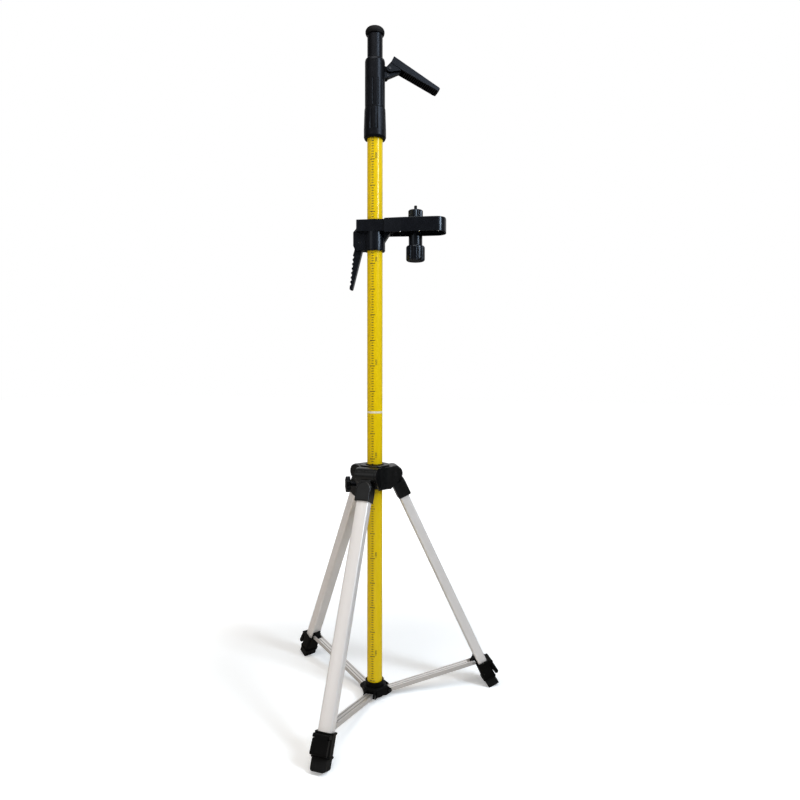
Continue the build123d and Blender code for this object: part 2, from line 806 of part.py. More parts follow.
# Twist collar with its hidden collet sleeve
with BuildPart() as twist_collar:
    with BuildSketch(Plane.XZ):
        with BuildLine():
            Polyline(
                (pole_radius + slide_gap, collar_bottom),
                (collar_foot_radius, collar_bottom),
                (collar_band_radius, collar_bottom + collar_chamfer),
                (collar_band_radius, collar_bottom + collar_band_height),
                (collar_top_radius, collar_top - collar_edge),
                (collar_top_radius - collar_edge, collar_top),
                (extension_radius + slide_gap, collar_top),
                (extension_radius + slide_gap, collar_top - collar_lip),
                (collar_cavity_radius, collar_top - collar_lip),
                (collar_cavity_radius, collar_bottom + collar_lip),
                (pole_radius + slide_gap, collar_bottom + collar_lip),
                close=True,
            )
        make_face()
    revolve(axis=Axis.Z)
    with BuildSketch(Plane.XY.offset(collar_bottom + collar_band_height)):
        with PolarLocations(collar_flute_centre, collar_flutes):
            Circle(collar_flute_radius)
    extrude(amount=collar_height, mode=Mode.SUBTRACT)
save(twist_collar, "twist_collar")

with BuildPart() as lock_sleeve:
    with BuildSketch(Plane.XY.offset(pole_top - sleeve_below)):
        Circle(sleeve_radius)
    extrude(amount=sleeve_below + sleeve_above)
    with BuildSketch(Plane.XY.offset(pole_top - sleeve_below)):
        Circle(pole_radius + fixed_fit)
    extrude(amount=sleeve_below, mode=Mode.SUBTRACT)
    with BuildSketch(Plane.XY.offset(pole_top)):
        Circle(extension_radius + slide_gap)
        Rectangle(2 * sleeve_radius, sleeve_slit)
        Rectangle(sleeve_slit, 2 * sleeve_radius)
    extrude(amount=sleeve_above, mode=Mode.SUBTRACT)
save(lock_sleeve, "lock_sleeve")

# Telescoping head
with BuildPart() as extension_tube:
    with BuildSketch(Plane.XY.offset(pole_top - extension_below)):
        Circle(extension_radius)
        Circle(extension_radius - tube_wall, mode=Mode.SUBTRACT)
    extrude(amount=housing_bottom + housing_seat - pole_top + extension_below)
save(extension_tube, "extension_tube")

jack_side = radial_plane(jack_azimuth)
jack_lug_half = jack_lug_width / 2
strut_ear_offset = strut_width / 2 + side_gap
with BuildPart() as head_housing:
    with BuildSketch(Plane.XZ):
        with BuildLine():
            Polyline(
                (0, housing_bottom),
                (housing_radius, housing_bottom),
                (housing_radius, housing_top - housing_shoulder),
                (housing_radius - housing_shoulder_step, housing_top - housing_rim),
                (housing_radius - housing_shoulder_step - housing_rim, housing_top),
                (0, housing_top),
                close=True,
            )
        make_face()
    revolve(axis=Axis.Z)
    flute_centre = housing_radius + flute_radius - flute_depth
    with BuildSketch(Plane.XY.offset(housing_bottom + flute_bottom)):
        with PolarLocations(flute_centre, housing_flutes, start_angle=flute_azimuth):
            Circle(flute_radius)
    extrude(amount=flute_top - flute_bottom, mode=Mode.SUBTRACT)
    with Locations((0, 0, housing_bottom + flute_top)):
        with PolarLocations(flute_centre, housing_flutes, start_angle=flute_azimuth):
            Sphere(flute_radius, mode=Mode.SUBTRACT)
    for side in (-1, 1):
        with BuildSketch(jack_side.offset(side * strut_ear_offset)):
            with Locations((strut_base_out, strut_base_height)):
                Circle(strut_ear_radius)
            with Locations(((rod_radius + housing_radius) / 2, strut_base_height)):
                Rectangle(tube_wall, 3 * strut_ear_radius)
            make_hull()
            with Locations((strut_base_out, strut_base_height)):
                Circle(strut_pin_radius + fixed_fit, mode=Mode.SUBTRACT)
        extrude(amount=side * strut_ear_thickness)
    with BuildSketch(Plane.XY.offset(housing_bottom)):
        Circle(extension_radius + fixed_fit)
    extrude(amount=housing_height, mode=Mode.SUBTRACT)
    with BuildSketch(Plane.XY.offset(housing_bottom + housing_seat)):
        Circle(rod_radius + slide_gap)
    extrude(amount=housing_height, mode=Mode.SUBTRACT)
    lug_slot_bottom = jack_pivot_height - jack_lug_radius - side_gap
    with BuildSketch(level_plane(jack_azimuth, lug_slot_bottom)):
        with Locations((housing_radius, 0)):
            Rectangle(housing_radius, jack_lug_width + 2 * side_gap)
    extrude(amount=housing_height, mode=Mode.SUBTRACT)
save(head_housing, "head_housing")

with BuildPart() as strut_pin:
    with BuildSketch(jack_side):
        with Locations((strut_base_out, strut_base_height)):
            Circle(strut_pin_radius)
    extrude(amount=strut_ear_offset + strut_ear_thickness, both=True)
save(strut_pin, "strut_pin")

rod_bottom = housing_bottom + housing_seat + rod_clear
with BuildPart() as top_rod:
    with BuildSketch(Plane.XY.offset(rod_bottom)):
        Circle(rod_radius)
    extrude(amount=rod_top - rod_bottom)
    with BuildSketch(jack_side):
        with Locations((jack_pivot_out, jack_pivot_height)):
            Circle(jack_lug_radius)
        with Locations((rod_radius - rod_wall / 2, jack_pivot_height)):
            Rectangle(rod_wall, 2 * jack_lug_radius)
        make_hull()
    extrude(amount=jack_lug_half, both=True)
    with BuildSketch(Plane.XY.offset(rod_bottom)):
        Circle(rod_radius - rod_wall)
    extrude(amount=rod_top - rod_bottom, mode=Mode.SUBTRACT)
    with BuildSketch(jack_side):
        with Locations((jack_pivot_out, jack_pivot_height)):
            Circle(jack_pin_radius + fixed_fit)
    extrude(amount=jack_lug_half, both=True, mode=Mode.SUBTRACT)
save(top_rod, "top_rod")

cap_rim_top = cap_bottom + cap_grip
cap_dome_top = cap_rim_top + cap_dome
with BuildPart() as top_cap:
    with BuildSketch(Plane.XZ):
        with BuildLine():
            Polyline(
                (0, cap_bottom),
                (cap_under_radius, cap_bottom),
                (cap_radius, cap_bottom + cap_rim),
                (cap_radius, cap_rim_top),
            )
            ThreePointArc(
                (cap_radius, cap_rim_top),
                (cap_radius - cap_shoulder_out, cap_rim_top + cap_shoulder_up),
                (cap_nub_radius, cap_dome_top),
            )
            Polyline(
                (cap_nub_radius, cap_dome_top),
                (cap_nub_radius - cap_nub_slope, cap_dome_top + cap_nub_height),
                (0, cap_dome_top + cap_nub_height),
                (0, cap_bottom),
            )
        make_face()
    revolve(axis=Axis.Z)
    with BuildSketch(Plane.XY.offset(cap_bottom)):
        Circle(rod_radius + fixed_fit)
    extrude(amount=cap_grip, mode=Mode.SUBTRACT)
save(top_cap, "top_cap")

with BuildPart() as jack_pin:
    with BuildSketch(jack_side):
        with Locations((jack_pivot_out, jack_pivot_height)):
            Circle(jack_pin_radius)
    extrude(amount=jack_width / 2, both=True)
save(jack_pin, "jack_pin")

# Jack lever: a tapered channel with two cheeks at the pivot and grip ribs across its open side
lever_plane = Plane(
    origin=polar(jack_pivot_out, jack_azimuth, jack_pivot_height),
    x_dir=polar(cos(radians(jack_angle)), jack_azimuth, -sin(radians(jack_angle))),
    z_dir=jack_side.z_dir,
)
along_lever = Axis(lever_plane.origin, lever_plane.x_dir)
jack_inside = jack_width / 2 - jack_wall
hollow_top = jack_above - jack_top_wall
root_edge = jack_above - jack_root_height
tip_edge = jack_above - jack_tip_height
with BuildPart() as jack_lever:
    with BuildSketch(lever_plane):
        with BuildLine():
            Polyline(
                (-jack_behind, root_edge),
                (jack_cheek_end, root_edge),
                (jack_ahead, tip_edge),
                (jack_ahead, jack_above),
                (-jack_behind, jack_above),
                close=True,
            )
        make_face()
    extrude(amount=jack_width / 2, both=True)
    upright_edges = jack_lever.edges().filter_by(Axis(lever_plane.origin, lever_plane.y_dir))
    fillet(upright_edges.sort_by(along_lever)[-2:], radius=jack_tip_round)
    back_edges = jack_lever.faces().sort_by(Axis(lever_plane.origin, lever_plane.y_dir))[-1].edges()
    fillet(back_edges, radius=jack_top_round)
    with BuildSketch(lever_plane):
        Circle(jack_cheek_radius)
        with Locations(((jack_cheek_end - jack_behind) / 2, root_edge + jack_wall / 2)):
            Rectangle(jack_cheek_end + jack_behind, jack_wall)
        make_hull()
    extrude(amount=jack_width / 2 - jack_cheek_inset, both=True)
    hollow_length = jack_rib_start + jack_behind + jack_cheek_radius
    pocket_length = jack_rib_pitch - jack_rib_thickness
    with BuildSketch(lever_plane):
        with Locations((jack_rib_start - hollow_length / 2, hollow_top - jack_above)):
            Rectangle(hollow_length, 2 * jack_above)
        for rib in range(jack_ribs):
            pocket_start = jack_rib_start + rib * jack_rib_pitch + jack_rib_thickness
            with Locations((pocket_start + pocket_length / 2, hollow_top - jack_above)):
                Rectangle(pocket_length, 2 * jack_above)
    extrude(amount=jack_inside, both=True, mode=Mode.SUBTRACT)
    for side in (-1, 1):
        with BuildSketch(lever_plane.offset(side * (jack_inside - strut_stub))):
            with Locations((strut_ahead, strut_above)):
                Circle(strut_stub_radius)
        extrude(amount=side * strut_stub)
    with BuildSketch(lever_plane):
        Circle(jack_pin_radius + pin_fit)
    extrude(amount=jack_width, both=True, mode=Mode.SUBTRACT)
save(jack_lever, "jack_lever")

strut_base = polar(strut_base_out, jack_azimuth, strut_base_height)
strut_end = lever_plane.origin + lever_plane.x_dir * strut_ahead + lever_plane.y_dir * strut_above
strut_run = strut_end - strut_base
strut_plane = Plane(origin=strut_base, x_dir=strut_run, z_dir=jack_side.z_dir)
with BuildPart() as jack_strut:
    with BuildSketch(strut_plane):
        with Locations((strut_run.length / 2, 0)):
            SlotCenterToCenter(strut_run.length, 2 * strut_radius)
        Circle(strut_pin_radius + pin_fit, mode=Mode.SUBTRACT)
        with Locations((strut_run.length, 0)):
            Circle(strut_stub_radius + pin_fit, mode=Mode.SUBTRACT)
    extrude(amount=strut_width / 2, both=True)
save(jack_strut, "jack_strut")

# Instrument bracket: a sleeve on the pole, the clamp round it and the platform on its tongue
with BuildPart() as clamp_sleeve:
    with BuildSketch(Plane.XY.offset(bracket_bottom - side_gap - clamp_sleeve_lip)):
        Circle(clamp_sleeve_lip_radius)
    extrude(amount=clamp_sleeve_lip)
    with BuildSketch(Plane.XY.offset(bracket_bottom - side_gap)):
        Circle(sleeve_outer)
    extrude(amount=bracket_top - bracket_bottom)
    with BuildSketch(Plane.XY.offset(bracket_bottom - side_gap - clamp_sleeve_lip)):
        Circle(bush_inner)
    extrude(amount=bracket_top - bracket_bottom + clamp_sleeve_lip, mode=Mode.SUBTRACT)
save(clamp_sleeve, "clamp_sleeve")

arm_side = radial_plane(bracket_azimuth)
arm_axis = Axis((0, 0, 0), polar(1, bracket_azimuth, 0))
screw_points = []
for screw_x in platform_screws_x:
    screw_points.append((screw_x, -platform_screw_half))
    screw_points.append((screw_x, platform_screw_half))

house_root = lever_house_root - bracket_collar_radius
house_out = block_back - lever_house_out
gusset_root = bracket_collar_radius - lever_house_root
with BuildPart() as clamp_body:
    with BuildSketch(level_plane(bracket_azimuth, block_bottom)):
        with Locations(((block_back + block_front) / 2, 0)):
            Rectangle(block_front - block_back, 2 * block_half_width)
    extrude(amount=block_thickness)
    fillet(clamp_body.edges().filter_by(Axis.Z).sort_by(arm_axis)[:2], radius=block_round)
    with BuildSketch(level_plane(bracket_azimuth, bracket_bottom)):
        Circle(bracket_collar_radius)
    extrude(amount=bracket_collar_length)
    with BuildSketch(arm_side):
        with BuildLine():
            Polyline(
                (house_root, block_bottom),
                (block_back + block_round, block_bottom + lever_house_top),
                (block_back, block_bottom + lever_house_top),
                (house_out, block_bottom),
                (house_out, bracket_bottom + lever_house_low),
                (block_back - lever_house_foot, bracket_bottom),
                (house_root, bracket_bottom),
                close=True,
            )
        make_face()
    extrude(amount=lever_house_half, both=True)
    with BuildSketch(arm_side):
        with BuildLine():
            Polyline(
                (gusset_root, tongue_bottom),
                (block_front + tongue_length, tongue_bottom),
                (block_front + gusset_reach, platform_bottom),
                (gusset_root, platform_bottom - gusset_drop),
                close=True,
            )
        make_face()
    extrude(amount=gusset_half, both=True)
    with BuildSketch(level_plane(bracket_azimuth, tongue_bottom)):
        with Locations((block_front + tongue_length / 2, 0)):
            Rectangle(tongue_length, 2 * tongue_half_width)
    extrude(amount=tongue_thickness)
    with BuildSketch(level_plane(bracket_azimuth, bracket_bottom)):
        Circle(bracket_bore)
    extrude(amount=bracket_top - bracket_bottom, mode=Mode.SUBTRACT)
    with BuildSketch(level_plane(bracket_azimuth, bracket_bottom)):
        with Locations((house_out, 0)):
            Rectangle(-2 * house_out - 2 * sleeve_outer, 2 * clamp_slot_half)
    extrude(amount=clamp_slot_height, mode=Mode.SUBTRACT)
    with BuildSketch(arm_side):
        with Locations((-clamp_pin_back, clamp_pin_height)):
            Circle(clamp_pin_radius + fixed_fit)
    extrude(amount=lever_house_half, both=True, mode=Mode.SUBTRACT)
    with BuildSketch(level_plane(bracket_azimuth, tongue_bottom)):
        with Locations(*screw_points):
            Circle(platform_screw_radius + fixed_fit)
    extrude(amount=tongue_thickness, mode=Mode.SUBTRACT)
save(clamp_body, "clamp_body")

with BuildPart() as clamp_pin:
    with BuildSketch(arm_side):
        with Locations((-clamp_pin_back, clamp_pin_height)):
            Circle(clamp_pin_radius)
    extrude(amount=lever_house_half, both=True)
save(clamp_pin, "clamp_pin")

pad_back = -clamp_pin_back + clamp_cam_radius + side_gap
pad_front = -bracket_bore - side_gap
with BuildPart() as clamp_pad:
    with BuildSketch(level_plane(bracket_azimuth, clamp_pin_height - clamp_pad_height / 2)):
        with Locations(((pad_back + pad_front) / 2, 0)):
            Rectangle(pad_front - pad_back, 2 * (clamp_slot_half - fixed_fit))
    extrude(amount=clamp_pad_height)
save(clamp_pad, "clamp_pad")

# Clamp lever: a round cam, a wide heel and a slim tip, with finger notches on the outer edge
heel = Vector(-clamp_heel_back, bracket_top - clamp_heel_below)
tip = Vector(-clamp_tip_back, bracket_top - clamp_tip_below)
lever_run = tip - heel
lever_lean = (clamp_heel_radius - clamp_tip_radius) / lever_run.length
lever_along = lever_run.normalized()
lever_across = Vector(lever_along.Y, -lever_along.X)
edge_normal = lever_along * lever_lean + lever_across * sqrt(1 - lever_lean * lever_lean)
edge_along = Vector(-edge_normal.Y, edge_normal.X)
edge_start = heel + edge_normal * (clamp_heel_radius + clamp_tooth_out)
with BuildPart() as clamp_lever:
    with BuildSketch(arm_side):
        with Locations((-clamp_pin_back, clamp_pin_height)):
            Circle(clamp_cam_radius)
        with Locations((heel.X, heel.Y)):
            Circle(clamp_heel_radius)
        with Locations((tip.X, tip.Y)):
            Circle(clamp_tip_radius)
        make_hull()
        for tooth in range(clamp_teeth):
            notch = edge_start + edge_along * (clamp_tooth_start + tooth * clamp_tooth_pitch)
            with Locations((notch.X, notch.Y)):
                Circle(clamp_tooth_radius, mode=Mode.SUBTRACT)
        with Locations((-clamp_pin_back, clamp_pin_height)):
            Circle(clamp_pin_radius + pin_fit, mode=Mode.SUBTRACT)
    extrude(amount=clamp_slot_half - side_gap, both=True)
save(clamp_lever, "clamp_lever")

with BuildPart() as platform:
    with BuildSketch(level_plane(bracket_azimuth, platform_bottom)) as section:
        platform_outline(section, 0)
    extrude(amount=platform_thickness)
    fillet(platform.faces().sort_by(Axis.Z)[-1].edges(), radius=platform_edge_round)
    with BuildSketch(level_plane(bracket_azimuth, platform_bottom)) as section:
        platform_outline(section, platform_wall)
    extrude(amount=platform_thickness - platform_wall - platform_rib_depth, mode=Mode.SUBTRACT)
    with BuildSketch(level_plane(bracket_azimuth, platform_under - platform_rib_depth)) as section:
        platform_outline(section, platform_wall)
        for rib_x in platform_ribs_x:
            with Locations((rib_x, 0)):
                Rectangle(platform_rib, 2 * platform_half_width, mode=Mode.SUBTRACT)
        with Locations(((mount_x + platform_end) / 2, 0)):
            Rectangle(platform_end - mount_x, platform_rib, mode=Mode.SUBTRACT)
    extrude(amount=platform_rib_depth, mode=Mode.SUBTRACT)
    with BuildSketch(level_plane(bracket_azimuth, boss_bottom)):
        with Locations((mount_x, 0)):
            Circle(boss_radius)
    extrude(amount=platform_under - boss_bottom)
    with BuildSketch(level_plane(bracket_azimuth, boss_bottom)):
        with Locations((mount_x, 0)):
            Circle(mount_shaft_radius + pin_fit)
    extrude(amount=bracket_top - boss_bottom, mode=Mode.SUBTRACT)
    with BuildSketch(level_plane(bracket_azimuth, platform_bottom)):
        with Locations((block_front, 0)):
            Rectangle(2 * platform_wall + side_gap, 2 * (tongue_half_width + fixed_fit))
    extrude(amount=platform_under - platform_bottom, mode=Mode.SUBTRACT)
save(platform, "platform")

with BuildPart() as platform_screws:
    with BuildSketch(level_plane(bracket_azimuth, tongue_bottom)):
        with Locations(*screw_points):
            Circle(platform_screw_radius)
    extrude(amount=platform_under - tongue_bottom)
    with BuildSketch(level_plane(bracket_azimuth, tongue_bottom - platform_screw_head_height)):
        with Locations(*screw_points):
            Circle(platform_screw_head)
    extrude(amount=platform_screw_head_height)
save(platform_screws, "platform_screws")

# Instrument screw
with BuildPart() as mount_knob:
    with BuildSketch(level_plane(bracket_azimuth, knob_bottom)):
        with Locations((mount_x, 0)):
            Circle(mount_knob_radius)
    extrude(amount=mount_knob_length)
    fillet(mount_knob.edges(), radius=mount_knob_round)
    with BuildSketch(level_plane(bracket_azimuth, knob_bottom)):
        with Locations((mount_x, 0)):
            with PolarLocations(mount_knob_radius + mount_flute_radius / 2, mount_knob_flutes):
                Circle(mount_flute_radius)
    extrude(amount=mount_knob_length, mode=Mode.SUBTRACT)
    with BuildSketch(level_plane(bracket_azimuth, knob_top)):
        with Locations((mount_x, 0)):
            Circle(mount_neck_radius)
    extrude(amount=mount_neck_length)
    with BuildSketch(level_plane(bracket_azimuth, neck_top)):
        with Locations((mount_x, 0)):
            Circle(mount_shaft_radius)
    extrude(amount=stud_collar_bottom - neck_top)
    with BuildSketch(level_plane(bracket_azimuth, stud_collar_bottom)):
        with Locations((mount_x, 0)):
            Circle(stud_shank_radius + fixed_fit)
    extrude(amount=-stud_depth, mode=Mode.SUBTRACT)
save(mount_knob, "mount_knob")

with BuildPart() as stud_collar:
    with BuildSketch(level_plane(bracket_azimuth, stud_collar_bottom)):
        with Locations((mount_x, 0)):
            Circle(stud_collar_radius)
    extrude(amount=stud_collar_height)
    chamfer(stud_collar.edges(), length=stud_collar_chamfer)
    with BuildSketch(level_plane(bracket_azimuth, stud_collar_bottom)):
        with Locations((mount_x, 0)):
            Circle(stud_shank_radius + fixed_fit)
    extrude(amount=stud_collar_height, mode=Mode.SUBTRACT)
save(stud_collar, "stud_collar")

with BuildPart() as mount_stud:
    with BuildSketch(level_plane(bracket_azimuth, stud_collar_bottom - stud_depth)):
        with Locations((mount_x, 0)):
            Circle(stud_shank_radius)
    extrude(amount=stud_collar_height + stud_depth)
    with BuildSketch(level_plane(bracket_azimuth, stud_top - stud_proud)):
        with Locations((mount_x, 0)):
            Circle(stud_radius)
    extrude(amount=stud_proud)
save(mount_stud, "mount_stud")
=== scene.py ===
"""Dresses the laser level tripod: its finishes, the printed scale, the threads and the small fittings."""

import json
import logging
import math
from dataclasses import dataclass, field
from enum import Enum
from typing import Callable, Sequence, Union

import bmesh
import bpy
from mathutils import Matrix, Vector


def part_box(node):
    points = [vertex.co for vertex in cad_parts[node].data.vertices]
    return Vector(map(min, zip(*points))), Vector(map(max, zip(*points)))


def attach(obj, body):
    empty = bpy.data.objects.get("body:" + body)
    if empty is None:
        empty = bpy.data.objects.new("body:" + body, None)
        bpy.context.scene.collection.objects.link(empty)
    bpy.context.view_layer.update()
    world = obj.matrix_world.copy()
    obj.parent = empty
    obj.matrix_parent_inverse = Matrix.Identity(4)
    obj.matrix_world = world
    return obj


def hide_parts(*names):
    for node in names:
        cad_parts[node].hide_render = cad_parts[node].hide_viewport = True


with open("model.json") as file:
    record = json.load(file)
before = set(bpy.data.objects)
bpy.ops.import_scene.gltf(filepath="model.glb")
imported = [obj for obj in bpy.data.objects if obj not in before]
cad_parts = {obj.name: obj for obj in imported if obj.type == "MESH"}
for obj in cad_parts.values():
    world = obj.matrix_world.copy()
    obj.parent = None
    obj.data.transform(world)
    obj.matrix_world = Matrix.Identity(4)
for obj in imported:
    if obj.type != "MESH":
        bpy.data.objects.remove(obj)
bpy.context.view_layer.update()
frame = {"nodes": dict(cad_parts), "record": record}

MM = 0.001
LEGS = (1, 2, 3)
BEVEL_SAMPLES = 4
EDGE_GAIN = 6.0
MID_NOISE = 0.5
BLOCK_CORNERS = 4

Colour = tuple[float, float, float]
Direction = tuple[float, float, float]
Range = tuple[float, float]
Value = Union["Socket", float, Sequence[float]]

UP: Direction = (0.0, 0.0, 1.0)
WHITE: Colour = (1.0, 1.0, 1.0)
BLACK: Colour = (0.0, 0.0, 0.0)

log = logging.getLogger("tripod")


def clear_colour(colour: Colour) -> tuple[float, float, float, float]:
    """Returns the colour with full alpha."""
    return (*colour, 1.0)


def scaled(colour: Colour, level: float) -> Colour:
    """Returns the colour made darker or lighter, up to full."""
    return tuple(min(1.0, part * level) for part in colour)


def polar(radius: float, azimuth: float, height: float) -> Vector:
    """Finds a point by its place round the pole.

    Args:
        radius: distance from the pole's axis, in metres.
        azimuth: direction round the pole, in degrees from X.
        height: height over the floor, in metres.

    Returns:
        The point in the object's frame.
    """
    turn = math.radians(azimuth)
    return Vector((radius * math.cos(turn), radius * math.sin(turn), height))


class Octaves(Enum):
    """How much fine detail a noise has."""

    PLAIN = 2.0
    FINE = 3.0
    RICH = 4.0


class Socket:
    """A value in a shader: arithmetic on it adds Math nodes."""

    def __init__(self, nodes: "Nodes", source: bpy.types.NodeSocket) -> None:
        """Keeps the node builder and the output that holds the value."""
        self.nodes = nodes
        self.source = source

    def math(self, operation: str, *values: Value) -> "Socket":
        """Adds a Math node.

        Args:
            operation: the Math node's operation.
            values: its inputs in order.

        Returns:
            The node's result.
        """
        return self.nodes.node("ShaderNodeMath", {"operation": operation}, dict(enumerate(values)))

    def __add__(self, other: Value) -> "Socket":
        """Adds."""
        return self.math("ADD", self, other)

    def __radd__(self, other: Value) -> "Socket":
        """Adds to a number."""
        return self.math("ADD", other, self)

    def __sub__(self, other: Value) -> "Socket":
        """Subtracts."""
        return self.math("SUBTRACT", self, other)

    def __rsub__(self, other: Value) -> "Socket":
        """Subtracts from a number."""
        return self.math("SUBTRACT", other, self)

    def __mul__(self, other: Value) -> "Socket":
        """Multiplies."""
        return self.math("MULTIPLY", self, other)

    def __rmul__(self, other: Value) -> "Socket":
        """Multiplies a number."""
        return self.math("MULTIPLY", other, self)

    def clamped(self) -> "Socket":
        """Limits the value to the range from 0 to 1."""
        return self.math("MINIMUM", self.math("MAXIMUM", self, 0.0), 1.0)

    def above(self, low: float, high: float) -> "Socket":
        """Returns 0 below low, 1 over high and a smooth rise between them."""
        settings = {"interpolation_type": "SMOOTHSTEP"}
        return self.nodes.node("ShaderNodeMapRange", settings, {0: self, 1: low, 2: high})


class Nodes:
    """Builds nodes in one node tree."""

    def __init__(self, tree: bpy.types.NodeTree) -> None:
        """Keeps the tree."""
        self.tree = tree

    def node(self, kind: str, settings: dict, inputs: dict, output: Union[int, str] = 0) -> Socket:
        """Adds a node.

        Args:
            kind: the node's type.
            settings: its properties, set first.
            inputs: values or links, by socket name or index.
            output: the output to hand back.

        Returns:
            The chosen output.
        """
        made = self.tree.nodes.new(kind)
        for key, value in settings.items():
            setattr(made, key, value)
        for key, value in inputs.items():
            self.feed(made.inputs[key], value)
        return Socket(self, made.outputs[output])

    def feed(self, socket: bpy.types.NodeSocket, value: Value) -> None:
        """Links a value to a socket, or sets it there.

        Args:
            socket: the input to feed.
            value: what it gets.
        """
        if isinstance(value, Socket):
            self.tree.links.new(value.source, socket)
        else:
            socket.default_value = value

    def noise(self, place: Socket, size: float, detail: Octaves = Octaves.PLAIN) -> Socket:
        """Makes a noise.

        Args:
            place: where to read it.
            size: the size of its blotches, in metres.
            detail: how much fine detail it has.

        Returns:
            A value from 0 to 1.
        """
        inputs = {"Vector": place, "Scale": 1.0 / size, "Detail": detail.value}
        return self.node("ShaderNodeTexNoise", {}, inputs, "Fac")

    def stretched(self, place: Socket, along: Direction, stretch: float) -> Socket:
        """Squeezes coordinates along a direction, so that a pattern runs that way.

        Args:
            place: the point.
            along: the direction of the pattern's lines.
            stretch: how many times longer the pattern gets.

        Returns:
            The squeezed point.
        """
        axis = tuple(Vector(along).normalized())
        share = self.aligned(place, axis) * (1.0 - 1.0 / stretch)
        drop = self.node("ShaderNodeVectorMath", {"operation": "SCALE"}, {0: axis, "Scale": share})
        return self.node("ShaderNodeVectorMath", {"operation": "SUBTRACT"}, {0: place, 1: drop})

    def mixed(self, factor: Value, first: Value, second: Value) -> Socket:
        """Mixes two colours.

        Args:
            factor: the share of the second.
            first: the first colour.
            second: the second colour.

        Returns:
            The mixed colour.
        """
        ends = [end if isinstance(end, Socket) else clear_colour(end) for end in (first, second)]
        return self.node("ShaderNodeMix", {"data_type": "RGBA"}, {0: factor, 6: ends[0], 7: ends[1]}, 2)

    def aligned(self, first: Value, second: Value) -> Socket:
        """Returns the dot product of two directions."""
        settings = {"operation": "DOT_PRODUCT"}
        return self.node("ShaderNodeVectorMath", settings, {0: first, 1: second}, "Value")

    def ray(self, kind: str) -> Socket:
        """Returns 1 for one kind of ray and 0 for the others."""
        return self.node("ShaderNodeLightPath", {}, {}, kind)


class Shader(Nodes):
    """One material's nodes, on a Principled surface."""

    def __init__(self, name: str) -> None:
        """Makes an empty material with its surface shader."""
        self.material = bpy.data.materials.new(name)
        self.material.use_nodes = True
        super().__init__(self.material.node_tree)
        self.surface = self.tree.nodes["Principled BSDF"]

    def finish(self, **inputs: Value) -> bpy.types.Material:
        """Sets the surface's inputs.

        Args:
            inputs: values or links, with the socket's name in lower case.

        Returns:
            The finished material.
        """
        for key, value in inputs.items():
            self.feed(self.surface.inputs[key.replace("_", " ").title().replace("Ior", "IOR")], value)
        return self.material

    def place(self) -> Socket:
        """Returns the point on the piece at rest, in metres."""
        return self.node("ShaderNodeTexCoord", {}, {}, "Object")

    def rounded(self, radius: float) -> Socket:
        """Returns the surface's normal with its edges rounded off."""
        return self.node("ShaderNodeBevel", {"samples": BEVEL_SAMPLES}, {"Radius": radius})

    def edges(self, rounded: Socket) -> Socket:
        """Returns a mask that is 1 on the edges and 0 on the faces."""
        flat = self.node("ShaderNodeNewGeometry", {}, {}, "Normal")
        return ((1.0 - self.aligned(flat, rounded)) * EDGE_GAIN).clamped()

    def bump(self, height: Socket, depth: float, normal: Socket) -> Socket:
        """Turns a height into a normal.

        Args:
            height: the height, from 0 to 1.
            depth: how deep 1 is, in metres.
            normal: the normal that it starts from.

        Returns:
            The bumped normal.
        """
        return self.node("ShaderNodeBump", {}, {"Height": height, "Distance": depth, "Normal": normal})


@dataclass(frozen=True)
class Enamel:
    """Glossy stoved paint over a drawn tube."""

    name: str
    colour: Colour
    deep_colour: Colour
    roughness: float = 0.3
    specular: float = 0.12
    coat: float = 0.3
    coat_roughness: float = 0.07
    peel_size: float = 2.4 * MM
    peel_depth: float = 0.008 * MM
    scuff_size: float = 0.9 * MM
    scuff_stretch: float = 40.0
    scuff_range: Range = (0.62, 0.8)
    scuff_shade: float = 0.06
    scuff_roughness: float = 0.1
    tone_size: float = 90 * MM
    tone_stretch: float = 4.0
    tone_roughness: float = 0.05
    tone_coat: float = 0.06
    edge_radius: float = 0.4 * MM
    edge_wear: float = 0.2
    worn_level: float = 0.6

    def material(self) -> bpy.types.Material:
        """Makes the paint: a slow drift of tone, orange peel and fine lengthwise scuffs.

        Returns:
            The material.
        """
        shader = Shader(self.name)
        place = shader.place()
        along = shader.stretched(place, UP, self.scuff_stretch)
        tone = shader.noise(shader.stretched(place, UP, self.tone_stretch), self.tone_size)
        scuffs = shader.noise(along, self.scuff_size, Octaves.RICH).above(*self.scuff_range)
        normal = shader.rounded(self.edge_radius)
        edge = shader.edges(normal)
        paint = shader.mixed(tone, self.deep_colour, self.colour)
        wear = (scuffs * self.scuff_shade + edge * self.edge_wear).clamped()
        peel = shader.noise(place, self.peel_size, Octaves.FINE)
        return shader.finish(
            base_color=shader.mixed(wear, paint, scaled(self.colour, self.worn_level)),
            roughness=self.roughness + tone * self.tone_roughness + scuffs * self.scuff_roughness,
            specular_ior_level=self.specular,
            coat_weight=self.coat + tone * self.tone_coat,
            coat_roughness=self.coat_roughness,
            normal=shader.bump(peel, self.peel_depth, normal),
        )


